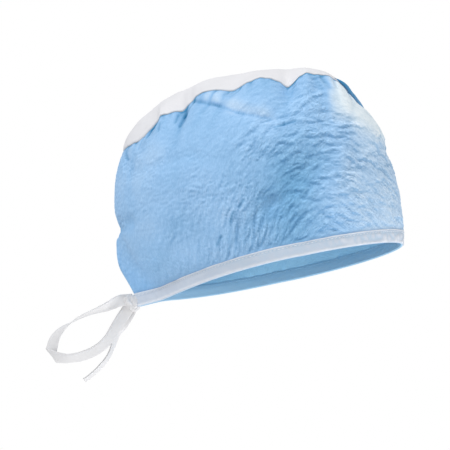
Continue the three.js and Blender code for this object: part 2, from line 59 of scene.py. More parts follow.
# Level rings of the side panel, from the brim (level 0) to the crown seam (level 1).
# back_x, back_z and front_x, front_z are its ends on the centre plane. It is widest at side_x,
# at half_width to each side, and side_z high there. front_arch and back_arch say how flat it
# runs before it drops to its ends. taper and corner shape its back quarter in plan: corner 1
# comes to a point, corner 2 is round. closed_at is where its two sides meet, as a share of the
# way back.
RING_COLUMNS = ("level", "back_x", "back_z", "side_x", "half_width", "side_z", "front_x",
                "front_z", "front_arch", "back_arch", "taper", "corner", "closed_at")
RINGS = (
    (0.00, -0.1032, -0.0246, 0.020, 0.0870, 0.0050, 0.1030, 0.0229, 1.0, 1.08, 2.6, 1.00, 0.84),
    (0.07, -0.1053, -0.0157, 0.020, 0.0884, 0.0148, 0.1036, 0.0325, 1.0, 1.06, 2.6, 1.00, 0.845),
    (0.12, -0.1108, -0.0058, 0.020, 0.0894, 0.0218, 0.1035, 0.0370, 1.0, 1.00, 2.5, 1.12, 0.89),
    (0.20, -0.1174, 0.0060, 0.019, 0.0906, 0.0330, 0.1028, 0.0440, 1.1, 1.00, 2.4, 1.40, 0.93),
    (0.34, -0.1198, 0.0240, 0.018, 0.0915, 0.0530, 0.1012, 0.0570, 1.2, 1.10, 2.2, 1.80, 0.98),
    (0.48, -0.1198, 0.0410, 0.016, 0.0905, 0.0730, 0.0986, 0.0700, 1.5, 1.25, 2.0, 2.00, 1.0),
    (0.62, -0.1216, 0.0570, 0.014, 0.0865, 0.0930, 0.0952, 0.0830, 1.9, 1.40, 2.0, 2.00, 1.0),
    (0.75, -0.1210, 0.0715, 0.014, 0.0790, 0.1110, 0.0916, 0.0955, 2.4, 1.60, 2.0, 2.00, 1.0),
    (0.88, -0.1184, 0.0850, 0.016, 0.0670, 0.1295, 0.0876, 0.1080, 3.0, 1.80, 2.0, 2.00, 1.0),
    (1.00, -0.1150, 0.0975, 0.020, 0.0500, 0.1465, 0.0750, 0.1185, 3.7, 1.90, 2.0, 2.00, 1.0),
)
# The share of the way back, round each side, that the front quarter takes.
FRONT_SHARE = 0.4
# The slit behind the head: the level that it reaches up to, and half its width at the brim.
SLIT_TOP = 0.39
SLIT_HALF = 0.0028
# How softly the pointed rings near the brim are eased.
CORNER_EASE = 0.1
# The levels between which the folds set in over the brim, and where the gathers of the seam begin.
FOLDS_BEGIN, FOLDS_FULL = 0.07, 0.25
GATHERS_BEGIN = 0.7
# The levels between which the crepe sets in, just above the binding.
CREPE_BEGIN, CREPE_FULL = 0.066, 0.095

# The crown's height over its seam, how much fuller it is behind, and the powers of the curves
# by which it runs out: in front, behind, and from the middle to the seam.
CROWN_RISE = 0.0145
CROWN_FULLNESS = 0.45
CROWN_FRONT_CURVE = 2.5
CROWN_BACK_CURVE = 5
CROWN_ROUNDNESS = 2.2
# Its deepest dents.
CROWN_DENTS = 0.0009

# The wrinkles of the crepe arch over this place below the brim's front, x and z. Behind it the
# arches are narrower than they are tall, and ahead of it they are rounder.
ARCH_FOOT = (0.040, -0.022)
ARCH_SLIM_BEHIND = 1.5
ARCH_SLIM_AHEAD = 0.95

# The sewn allowances of the crown seam point at this place inside the head.
HEAD_CENTRE = np.array((-0.015, 0.0, 0.060))

# The depths of a sharp crease and of a deep fold, by which their painted shade is measured, and how
# far the dark line of painted shadow, with gaps, along the crown seam reaches down, in its shade and
# in its hollow.
SHARP_CREASE = 0.001
DEEP_FOLD = 0.004
SEAM_LINE_SHADE = 0.0017
SEAM_LINE_HOLLOW = 0.0020

# Gathers of the crown seam: on which side (-1 is the wearer's right), where along it, how far
# the seam is lifted or pulled down from its even arch, and over what length.
GATHERS = (
    (-1, 0.062, -0.0025, 0.010), (-1, 0.045, 0.0035, 0.009), (-1, 0.027, 0.0040, 0.007),
    (-1, 0.013, -0.0065, 0.008),
    (-1, -0.008, 0.0025, 0.008), (-1, -0.029, -0.0030, 0.008), (-1, -0.058, 0.0046, 0.008),
    (-1, -0.069, -0.0024, 0.005), (-1, -0.086, 0.0042, 0.007), (-1, -0.102, -0.0050, 0.008),
    (1, 0.058, 0.0020, 0.009), (1, 0.030, -0.0035, 0.008), (1, 0.006, 0.0025, 0.009),
    (1, -0.022, -0.0030, 0.008), (1, -0.046, 0.0026, 0.009), (1, -0.074, -0.0035, 0.007),
    (1, -0.097, 0.0020, 0.008),
)

# The four faces that the tables below name: the axis that points out of the face, its direction,
# and how far out along it the face begins and is full.
FACES = {
    "right": (1, -1, 0.005, 0.025),
    "left": (1, 1, 0.005, 0.025),
    "back": (0, -1, 0.070, 0.100),
    "front": (0, 1, 0.060, 0.090),
}

# Folds and creases of the side panel, each a line over its right, left, back or front: where the
# line starts, where it ends, its half width and its depth. A place is x and z on the right and
# left, and y and z behind and in front. A positive depth is a dent, a negative one a ridge.
FOLDS = {
    "right": (
        (0.026, 0.070, 0.004, 0.044, 0.016, 0.0052),
        (-0.004, 0.042, -0.030, 0.018, 0.009, 0.0036),
        (0.030, 0.040, 0.052, 0.052, 0.013, -0.0022),
        (-0.062, 0.130, -0.002, 0.107, 0.0046, 0.0017),
        (-0.048, 0.133, -0.008, 0.117, 0.007, -0.0026),
        (-0.034, 0.098, -0.050, 0.060, 0.016, -0.0018),
        (-0.068, 0.124, -0.067, 0.114, 0.004, 0.0018),
        (-0.088, 0.117, -0.094, 0.106, 0.004, 0.0018),
        (-0.112, 0.090, -0.108, 0.080, 0.005, 0.0020),
        (-0.106, 0.074, -0.060, 0.082, 0.006, 0.0016),
        (0.014, 0.138, 0.006, 0.112, 0.009, 0.0022),
        (0.050, 0.128, 0.076, 0.100, 0.011, -0.0030),
        (0.040, 0.118, 0.044, 0.088, 0.007, 0.0016),
        (-0.072, 0.028, -0.090, -0.002, 0.008, 0.0022),
    ),
    "left": (
        (0.030, 0.138, 0.024, 0.108, 0.008, 0.0022),
        (-0.022, 0.134, -0.012, 0.104, 0.007, 0.0020),
        (-0.074, 0.118, -0.060, 0.092, 0.006, 0.0022),
        (0.040, 0.084, 0.000, 0.052, 0.013, 0.0036),
        (-0.040, 0.040, -0.080, 0.004, 0.009, 0.0028),
    ),
    "back": (
        (-0.034, 0.036, 0.030, 0.033, 0.007, 0.0040),
        (0.020, 0.084, 0.034, 0.056, 0.007, 0.0022),
        (-0.016, 0.022, -0.010, 0.000, 0.005, 0.0018),
        (0.016, 0.024, 0.011, 0.002, 0.005, 0.0018),
    ),
    "front": (
        (-0.010, 0.096, 0.034, 0.088, 0.008, 0.0014),
    ),
}
CREASES = {
    "right": (
        (-0.064, 0.131, -0.040, 0.122, 0.0014, 0.0009),
        (-0.044, 0.124, -0.022, 0.113, 0.0013, 0.0006),
        (-0.026, 0.115, -0.002, 0.108, 0.0012, 0.0005),
        (-0.0655, 0.127, -0.0665, 0.117, 0.0013, 0.0016),
        (-0.0660, 0.118, -0.0700, 0.108, 0.0010, 0.0013),
        (-0.0710, 0.119, -0.0730, 0.112, 0.0010, 0.0009),
        (-0.0870, 0.119, -0.0895, 0.111, 0.0012, 0.0015),
        (-0.0895, 0.112, -0.0950, 0.103, 0.0010, 0.0011),
        (-0.0850, 0.112, -0.0860, 0.105, 0.0009, 0.0008),
        (-0.1130, 0.094, -0.1100, 0.087, 0.0012, 0.0010),
        (-0.0290, 0.037, -0.0315, 0.030, 0.0010, 0.0011),
        (-0.0215, 0.046, -0.0250, 0.041, 0.0009, 0.0009),
        (-0.0380, 0.020, -0.0410, 0.014, 0.0010, 0.0009),
        (0.002, 0.101, 0.009, 0.104, 0.0009, 0.0010),
        (0.009, 0.104, 0.017, 0.106, 0.0009, 0.0009),
    ),
    "left": (
        (-0.0500, 0.133, -0.0460, 0.120, 0.0014, 0.0006),
        (-0.0465, 0.122, -0.0440, 0.113, 0.0011, 0.0004),
        (0.0100, 0.139, 0.0150, 0.126, 0.0014, 0.0006),
    ),
}

# The tape loop behind the knot: points of its middle line, x, y and z, and the direction across
# the tape there.
LOOP_ROUTE = (
    (-0.1075, -0.0008, -0.0196, 0.05, 0.00, 1.00),
    (-0.1132, -0.0016, -0.0202, 0.10, 0.00, 1.00),
    (-0.1170, -0.0022, -0.0210, 0.25, -0.05, 0.97),
    (-0.1220, -0.0028, -0.0230, 0.30, -0.35, 0.90),
    (-0.1280, -0.0032, -0.0257, 0.28, -0.70, 0.66),
    (-0.1340, -0.0034, -0.0281, 0.20, -0.88, 0.42),
    (-0.1410, -0.0034, -0.0308, 0.10, -0.97, 0.22),
    (-0.1480, -0.0030, -0.0340, 0.00, -1.00, 0.05),
    (-0.1555, -0.0020, -0.0386, 0.12, -0.98, -0.15),
    (-0.1608, -0.0010, -0.0426, 0.30, -0.86, -0.40),
    (-0.1650, 0.0000, -0.0470, 0.60, -0.65, -0.46),
    (-0.1676, 0.0006, -0.0518, 0.84, -0.42, -0.33),
    (-0.1690, 0.0009, -0.0570, 0.90, -0.30, -0.25),
    (-0.1696, 0.0009, -0.0604, 0.82, -0.10, -0.56),
    (-0.1694, 0.0000, -0.0626, 0.64, 0.00, -0.77),
    (-0.1672, -0.0009, -0.0638, 0.35, 0.30, -0.88),
    (-0.1630, -0.0009, -0.0649, -0.02, 0.55, -0.83),
    (-0.1570, -0.0007, -0.0654, 0.02, 0.70, -0.71),
    (-0.1495, -0.0004, -0.0645, 0.12, 0.70, -0.70),
    (-0.1420, 0.0000, -0.0624, 0.26, 0.66, -0.70),
    (-0.1355, 0.0002, -0.0593, 0.38, 0.62, -0.68),
    (-0.1295, 0.0003, -0.0550, 0.50, 0.60, -0.62),
    (-0.1246, 0.0004, -0.0494, 0.64, 0.60, -0.47),
    (-0.1208, 0.0005, -0.0430, 0.72, 0.55, -0.42),
    (-0.1170, 0.0007, -0.0368, 0.78, 0.40, -0.46),
    (-0.1136, 0.0008, -0.0316, 0.80, 0.15, -0.56),
    (-0.1112, 0.0008, -0.0280, 0.80, 0.00, -0.60),
    (-0.1082, 0.0008, -0.0236, 0.82, 0.00, -0.57),
)

# The loose end, which hangs from the knot behind the loop's return leg and turns almost edge on:
# points and directions as above.
TAIL_ROUTE = (
    (-0.1066, 0.0022, -0.0240, 0.80, 0.00, -0.60),
    (-0.1086, 0.0029, -0.0282, 0.82, 0.00, -0.57),
    (-0.1114, 0.0040, -0.0330, 0.82, 0.20, -0.52),
    (-0.1150, 0.0060, -0.0390, 0.70, 0.55, -0.44),
    (-0.1186, 0.0080, -0.0456, 0.40, 0.90, -0.10),
    (-0.1216, 0.0090, -0.0528, 0.28, 0.95, -0.04),
    (-0.1242, 0.0092, -0.0600, 0.26, 0.96, -0.06),
    (-0.1276, 0.0092, -0.0660, 0.24, 0.96, -0.10),
    (-0.1320, 0.0092, -0.0712, 0.20, 0.96, -0.15),
    (-0.1368, 0.0092, -0.0759, 0.17, 0.96, -0.18),
    (-0.1410, 0.0092, -0.0794, 0.15, 0.96, -0.20),
    (-0.1444, 0.0092, -0.0817, 0.14, 0.97, -0.20),
)

# The knot's turns of tape: centre, half sizes along its own axes, lean about y, and the seed of
# its folds.
KNOT_TURNS = (
    ((-0.1068, 0.0, -0.0214), (0.0062, 0.0047, 0.0054), 0.20, 61),
    ((-0.1088, 0.0, -0.0222), (0.0032, 0.0052, 0.0060), -0.55, 62),
    ((-0.1062, 0.0006, -0.0240), (0.0052, 0.0042, 0.0042), 0.70, 63),
)

# In front of this x the side panel's allowance stands out as a small welt. Then half the welt's
# height, and half its thickness.
WELT_BEGINS = 0.047
WELT_HALF_HEIGHT = 0.0013
WELT_HALF_WALL = 0.0006

# The highest crinkles and the widest sway of the ties' tape.
TAPE_CRINKLE = 0.00013
TAPE_SWAY = 0.00030
# A tape that lies slanting to its route is made wider to keep its width, at most by 1 over this.
LEAST_SLANT = 0.8

# Between the panel and the binding's inner faces.
BINDING_SKIN = 0.00022
# The binding's seam lies this far below its upper edge, and sinks into the tape over this height.
BINDING_SEAM = 0.0019
BINDING_SEAM_SPREAD = 0.0009
# The highest puffs and lumps of the binding's tape, its dent at the seam, and its roll at the brim.
BINDING_PUFF = 0.00026
BINDING_LUMPS = 0.00030
BINDING_DENT = 0.00030
BINDING_ROLL = 0.00022

# The tie's seam lies this far from the tape's open edge.
TIE_SEAM = 0.0016
# How deep a stitch sinks into its cloth.
STITCH_SINK = 0.00005

# ---------------- fineness

# Columns round the head, and rows of the outer face and of the lining from brim to seam.
COLUMNS = 400
HALF_COLUMNS = COLUMNS // 2
SIDE_ROWS = 196
LINING_ROWS = 36
# The panels' cloth stops at this level, and rolls over into the seam from there.
CREPE_CUT = 0.988
# Every column's place round the head, from -1, behind on the right, to 1 on the left.
AROUND = np.arange(COLUMNS + 1) / HALF_COLUMNS - 1
# Rows next to the brim among which the binding lies.
BRIM_ROWS = 28
# Cells over the crown from right to left.
CROWN_CELLS = 84
# From one ring of a tie's tape to the next.
TAPE_STEP = 0.0008

# ---------------- tones and studio

# Painted shade and painted highlight: how much deeper than its own blue each region of the side
# panel is painted. Below 0 it is painted paler. The patches are random tone.
REGION_SHADING_AND_TONES = {
    "taut front": -0.78, "forehead": -0.34, "slanting ridge": -0.34, "hollow side": 0.40,
    "above the brim": 0.10, "high side": 0.13, "back": -0.06, "patches": 0.10,
}

# Painted highlight: the colour that white nonwoven is painted where its shade is below 0, on bright
# edges, rolls and crests.
PAINTED_HIGHLIGHT_WHITE = (0.90, 0.91, 0.93)
# Painted highlight and painted shade: what the crepe's colour is multiplied by on the crests and in
# the hollows of its wrinkles.
CREST_HIGHLIGHT_TINT = (1.42, 1.30, 1.22)
HOLLOW_SHADE_TINT = (0.58, 0.70, 0.78)
# The binding's tape where the blue crepe shows through it, and painted shade in its fold, on its
# inner layer and on the stitches inside.
BINDING_BLUE_AND_SHADE = (0.30, 0.54, 0.73)

CAMERA_PLACE = (-0.0351, -1.487, -0.157)
CAMERA_TILT = 97.5
CAMERA_LENS = 153.8
FLOOR_HEIGHT = -0.45

# The square lights: name, place, power, size and colour. All of them shine at the cap's middle.
LIGHTS = (
    ("key_light", (0.85, -0.95, 1.50), 11.5, 0.45, (1.0, 0.99, 0.97)),
    ("fill_light", (-1.15, -0.90, 1.10), 13, 0.8, (0.97, 0.98, 1.0)),
    ("back_light", (-0.3, 1.4, 1.0), 2, 1.0, (1.0, 1.0, 1.0)),
    ("low_light", (0.20, -0.10, -0.42), 1.9, 0.3, (0.97, 0.98, 1.0)),
)
LIGHTS_AIM = (0, 0, 0.06)
# The light from all round: its colour and strength.
SKY_COLOUR = (0.93, 0.96, 1.0)
SKY_STRENGTH = 0.50

# ---------------- settings


def size_setting(name, description, default, low, high):
    """A size that a user can change."""
    return bpy.props.FloatProperty(
        name=name, description=description, default=default, min=low, max=high,
        subtype="DISTANCE")


class CapSizes(bpy.types.PropertyGroup):
    """Sizes of the cap's cloth and sewing."""

    panel_wall: size_setting(
        "Panel wall", "Thickness of the two panels' walls", 0.0009, 0.0003, 0.002)
    seam_allowance: size_setting(
        "Seam allowance", "Cloth that turns in past the crown seam", 0.005, 0.002, 0.010)
    seam_gap: size_setting(
        "Seam gap", "Space between the two panels at their seam", 0.0006, 0.0002, 0.001)
    seam_roll: size_setting(
        "Seam roll", "Radius by which each panel rolls over into the seam", 0.0016, 0.0005, 0.003)
    crepe_height: size_setting(
        "Crepe height", "Height of the crepe's wrinkles", 0.00095, 0.0, 0.002)
    crumple_height: size_setting(
        "Crumple height", "Height of the panel's soft dents", 0.0010, 0.0, 0.003)
    pleat_depth: size_setting(
        "Pleat depth", "Depth of the deepest pleats below the crown seam", 0.0015, 0.0, 0.003)
    binding_width: size_setting(
        "Binding width", "Height of the folded tape over the brim", 0.0095, 0.006, 0.014)
    binding_wall: size_setting(
        "Binding wall", "Thickness of the binding's tape", 0.0005, 0.0002, 0.001)
    tape_width: size_setting(
        "Tie width", "Width of the folded tape of the ties", 0.009, 0.006, 0.012)
    tape_wall: size_setting(
        "Tie wall", "Thickness of the folded tape of the ties", 0.0010, 0.0005, 0.002)
    stitch_length: size_setting(
        "Stitch length", "Length of thread that shows in one stitch", 0.0021, 0.001, 0.004)
    stitch_pitch: size_setting(
        "Stitch pitch", "From one stitch to the next", 0.0031, 0.0015, 0.006)
    thread_width: size_setting(
        "Thread width", "Diameter of the sewing thread", 0.00042, 0.0002, 0.001)


def colour_setting(name, description, default):
    """A colour that a user can change."""
    return bpy.props.FloatVectorProperty(
        name=name, description=description, default=default, size=3, min=0.0, max=1.0,
        subtype="COLOR")


class CapColours(bpy.types.PropertyGroup):
    """Colours of the cap's cloths and of the studio."""

    panel_blue: colour_setting("Panel blue", "Single layer of the crepe", (0.345, 0.580, 0.865))
    # The deep blue is painted shade, in creases, folds, along the seam and in shaded regions; the
    # pale blue is painted highlight on crests and lit regions.
    panel_shade_blue: colour_setting("Panel deep blue", "Folded layers of the crepe", (0.05, 0.29, 0.53))
    panel_highlight_blue: colour_setting("Panel pale blue", "Crests of the crepe", (0.87, 0.955, 1.0))
    # The lining is painted lighter than the crepe outside: painted light for the light that comes
    # through the cloth.
    lining_lit_blue: colour_setting("Lining blue", "Inside of the crepe", (0.38, 0.67, 0.87))
    crown_white: colour_setting("Crown white", "Smooth crown panel", (0.79, 0.78, 0.795))
    binding_white: colour_setting("Binding white", "Tape over the brim", (0.58, 0.64, 0.73))
    tie_white: colour_setting("Tie white", "Tape of the ties and the knot", (0.79, 0.775, 0.77))
    thread_white: colour_setting("Thread white", "Sewing thread", (0.86, 0.88, 0.92))
    floor_white: colour_setting("Floor white", "Studio floor", (0.90, 0.90, 0.90))


# ---------------- number helpers


def smooth(low, high, value):
    """0 below low, 1 above high, and a soft step between them."""
    t = np.clip((value - low) / (high - low), 0, 1)
    return t * t * (3 - 2 * t)


def unit(vectors):
    """The same directions, one long."""
    return vectors / np.maximum(np.linalg.norm(vectors, axis=-1, keepdims=True), 1e-12)


def run_along(lines):
    """How far each point of a line lies from the line's start. A grid's lines are its rows."""
    steps = np.linalg.norm(np.diff(lines, axis=-2), axis=-1)
    start = np.zeros((*steps.shape[:-1], 1))
    return np.concatenate((start, np.cumsum(steps, axis=-1)), axis=-1)


def values_at(places, run, rows):
    """What a line's rows of numbers are at places along its run."""
    return np.stack([np.interp(places, run, column) for column in rows.T], axis=1)


def fade_ends(count, reach):
    """For a row of points: 0 at both ends, 1 between them, and a soft step over the reach."""
    place = np.arange(count)
    return smooth(0, reach, np.minimum(place, place[::-1]))


def noise_at(points, size, seed=0.0):
    """Smooth noise, about -1 to 1, at an array of points, with cells of the given size."""
    scaled = points.reshape(-1, 3) / np.array(size) + seed * np.array((17.3, -9.1, 5.7))
    values = [noise.noise(Vector(row)) for row in scaled.tolist()]
    return np.array(values).reshape(points.shape[:-1])


def creased(values):
    """Noise turned into sharp ridges between soft hollows."""
    return 1 - 2.6 * np.abs(values)


def lumpy(values):
    """Noise turned into soft lumps between sharp valleys."""
    return 2.6 * np.abs(values) - 0.6


def ring_value(key, level):
    """A value of the rings at any level: a smooth curve through the table's rows."""
    levels = np.array([row[0] for row in RINGS])
    values = np.array([row[RING_COLUMNS.index(key)] for row in RINGS])
    before = np.maximum(np.arange(len(levels)) - 1, 0)
    after = np.minimum(np.arange(len(levels)) + 1, len(levels) - 1)
    slope = (values[after] - values[before]) / (levels[after] - levels[before])
    k = np.searchsorted(levels[1:-1], level)
    span = levels[k + 1] - levels[k]
    t = (level - levels[k]) / span
    rise = values[k + 1] - values[k]
    start_bend = slope[k] * span - rise
    end_bend = rise - slope[k + 1] * span
    return values[k] + rise * t + t * (1 - t) * (start_bend * (1 - t) + end_bend * t)


# ---------------- the side panel's surface


def ring_points(around, level):
    """Points of the even form. around runs from -1, behind on the right, to 1 on the left."""
    share = np.abs(around)[:, None]
    side = np.sign(around)[:, None]
    at = {key: ring_value(key, level)[None, :] for key in RING_COLUMNS[1:]}
    slit = SLIT_HALF * np.sqrt(np.maximum(0, 1 - (level / SLIT_TOP) ** 2))[None, :]

    turn = np.minimum(share / FRONT_SHARE, 1) * (math.pi / 2)
    ahead = np.cos(turn)
    front = np.stack((
        at["side_x"] + (at["front_x"] - at["side_x"]) * ahead,
        side * at["half_width"] * np.sin(turn),
        at["side_z"] + (at["front_z"] - at["side_z"]) * ahead ** at["front_arch"],
    ), axis=-1)

    quarter = np.clip((share - FRONT_SHARE) / (1 - FRONT_SHARE), 0, 1)
    roundness = np.minimum(at["corner"] - 1, 1)
    behind = (1 - roundness) * quarter + roundness * np.sin(quarter * (math.pi / 2))
    open_share = 1 - (behind / at["closed_at"]) ** at["taper"]
    softened = (open_share + np.hypot(open_share, CORNER_EASE * (1 - roundness))) / 2
    plan = softened ** (1 / at["corner"])
    back = np.stack((
        at["side_x"] + (at["back_x"] - at["side_x"]) * behind,
        side * (slit + (at["half_width"] - slit) * plan),
        at["side_z"] + (at["back_z"] - at["side_z"]) * behind ** at["back_arch"],
    ), axis=-1)
    return np.where((share <= FRONT_SHARE)[..., None], front, back)


def grid_normals(points):
    """Outward directions of a grid of points, first index around, second upwards."""
    return unit(np.cross(np.gradient(points, axis=0), np.gradient(points, axis=1)))


def join_behind(values, level):
    """Gives the two sides of the panel the same values where they meet behind the head."""
    closed = level >= SLIT_TOP
    values[0, closed] = values[-1, closed] = (values[0, closed] + values[-1, closed]) / 2
    return values


def surface_normals(form, level):
    """Outward directions of the side panel's points, the same on both sides where they meet."""
    return unit(join_behind(grid_normals(form), level))


def seam_lift(points):
    """How far the gathers lift the seam."""
    lift = np.zeros(points.shape[:-1])
    for side, x, height, spread in GATHERS:
        near = np.exp(-(np.abs((points[..., 0] - x) / spread) ** (1.25 if height > 0 else 1.6)))
        lift += height * near * (side * points[..., 1] > 0)
    lift += 0.0009 * noise_at(points, (0.008, 0.03, 0.03), 3)
    return lift + 0.0006 * noise_at(points, (0.0034, 0.03, 0.03), 9)


def fold_depth(points, folds):
    """How deep the folds of a table push each point in."""
    depth = np.zeros(points.shape[:-1])
    for face, rows in folds.items():
        axis, side, begins, full = FACES[face]
        on_face = smooth(begins, full, side * points[..., axis])
        for start_across, start_height, end_across, end_height, width, deep in rows:
            along = np.array((end_across - start_across, end_height - start_height))
            across = points[..., 1 - axis] - start_across
            height = points[..., 2] - start_height
            reach = np.clip((across * along[0] + height * along[1]) / (along @ along), 0, 1)
            gap = np.hypot(across - reach * along[0], height - reach * along[1])
            depth += deep * on_face * np.exp(-((gap / width) ** 2))
    return depth


def panel_form(around, level):
    """The side panel's outer face with its gathers and broad folds, but without crepe."""
    even = ring_points(around, level)
    points = even.copy()
    points[..., 2] += seam_lift(even) * smooth(GATHERS_BEGIN, 1, level)
    depth = fold_depth(points, FOLDS) * smooth(FOLDS_BEGIN, FOLDS_FULL, level)
    points -= grid_normals(even) * depth[..., None]
    return join_behind(points, level)


def seam_pleats(along, down):
    """Small pleats that run from the gathered seam: how deep they push each point in, as a share
    of the deepest one."""
    chance = random.Random(7)
    depth = np.zeros(down.shape)
    place = 0.004
    length = along[-1, 0]
    while place < length:
        lean = chance.uniform(-0.45, 0.45)
        width = chance.uniform(0.0009, 0.0019)
        reach = chance.uniform(0.005, 0.019) if chance.random() < 0.75 else 0.030
        deep = chance.uniform(0.25, 1.0)
        spread = width * (1 + 0.8 * down / reach)
        near = np.exp(-(((along - place - lean * down) / spread) ** 2))
        depth += deep * near * smooth(0, 0.002, down) * np.exp(-down / reach)
        place += chance.uniform(0.0035, 0.0105)
    return depth


def taut_front(x, z, full, begins):
    """1 on the taut cloth below the front of the seam, 0 elsewhere, with a soft step."""
    return smooth(0.034, full, x) * smooth(begins, 0.010, z - 0.117 + 0.32 * (x - 0.039))


def crepe_strength(points):
    """How strong the crepe is: 1 in front, less behind, and almost none where the cloth is taut."""
    x, z = points[..., 0], points[..., 2]
    taut = taut_front(x, z, 0.046, -0.008)
    high = smooth(0.070, 0.115, z) * smooth(0.050, 0.010, x)
    patchy = 0.85 + 0.5 * noise_at(points, 0.022, 8)
    ahead = smooth(-0.075, 0.005, x + 0.5 * (0.06 - z))
    return patchy * (0.36 + 0.64 * ahead) * (1 - 0.85 * taut) * (1 - 0.3 * high)


def arched(points):
    """The same points laid out along the crepe's arches: how far round, to which side, how far
    up. The wrinkles lie along the arches."""
    x = points[..., 0] - ARCH_FOOT[0]
    x = x * np.where(x > 0, ARCH_SLIM_AHEAD, ARCH_SLIM_BEHIND)
    z = points[..., 2] - ARCH_FOOT[1]
    radius = np.hypot(x, z)
    return np.stack((radius * np.arctan2(x, z), points[..., 1], radius), axis=-1)


def crepe(points):
    """The wrinkles of the crepe, about -1 to 1: long and wavy in front, with a steep lower side,
    and fine and bubbly further back."""
    x = points[..., 0]
    grain = arched(points)
    grain[..., 2] += 0.0030 * noise_at(points, 0.013, 11) + 0.0012 * noise_at(points, 0.006, 12)
    tipped = grain.copy()
    tipped[..., 2] += 0.0015 * noise_at(grain, (0.0098, 0.0098, 0.0040), 1)
    long = 1.5 * noise_at(tipped, (0.0098, 0.0098, 0.0040), 1)
    long += 0.50 * lumpy(noise_at(tipped, (0.0056, 0.0056, 0.0026), 2))
    bubbly = 0.8 * lumpy(noise_at(points, (0.0050, 0.0050, 0.0036), 6))
    bubbly += 0.5 * noise_at(points, 0.0026, 7)
    ahead = smooth(-0.065, -0.010, x)
    return ahead * long + (1 - ahead) * (0.7 * bubbly + 0.35 * long)


def spot(x, z, centre_x, spread_x, centre_z, spread_z):
    """1 at a place on the side of the cap, and fading out all round it."""
    return np.exp(-(((x - centre_x) / spread_x) ** 2) - ((z - centre_z) / spread_z) ** 2)


def region_shading_and_tone(points):
    """Painted shade on each point: how much deeper its blue is than the panel's own, or, below 0,
    paler as painted highlight; the patches are random tone.
    """
    x = points[..., 0] + 0.012 * noise_at(points, 0.026, 24)
    z = points[..., 2]
    # The taut front, forehead, slanting ridge and back get painted highlight; the hollow side, above
    # the brim and high side get painted shade; the patches are random tone.
    regions = {
        "taut front": taut_front(x, z, 0.048, -0.010),
        "forehead": smooth(0.018, 0.078, x + 0.12 * (z - 0.06)) * smooth(-0.01, 0.035, z),
        "slanting ridge": spot(x, z - 0.121 + 0.45 * (x + 0.030), -0.026, 0.026, 0, 0.007),
        "hollow side": spot(x - 0.10 * (z - 0.05), z, 0.016, 0.026, 0.050, 0.052),
        "above the brim": smooth(0.050, 0.0, z - 0.20 * x) * smooth(0.075, 0.03, x),
        "high side": spot(x, z, -0.034, 0.030, 0.090, 0.035),
        "back": smooth(-0.04, -0.08, x) * smooth(0.03, 0.07, z),
        "patches": noise_at(points, 0.024, 23),
    }
    return sum(REGION_SHADING_AND_TONES[name] * share for name, share in regions.items())


def crumples(points, height):
    """Soft dents of limp cloth, some of them with an edge."""
    soft = noise_at(points, (0.034, 0.034, 0.024), 21)
    edged = creased(noise_at(points, (0.020, 0.020, 0.013), 22))
    return height * (soft + 0.28 * edged)


def seam_joint(form, edge):
    """The crown seam, column by column: its points, the way in, and the way to the crown, whose
    points next to the seam are the edge."""
    seam = form[:-1, -1]
    down = unit(form[:-1, -6] - seam)
    over = unit(edge - seam)
    to_crown = unit(over - down)
    inward = HEAD_CENTRE - seam
    inward -= to_crown * np.sum(inward * to_crown, axis=-1, keepdims=True)
    return seam, unit(inward), to_crown


# ---------------- meshes


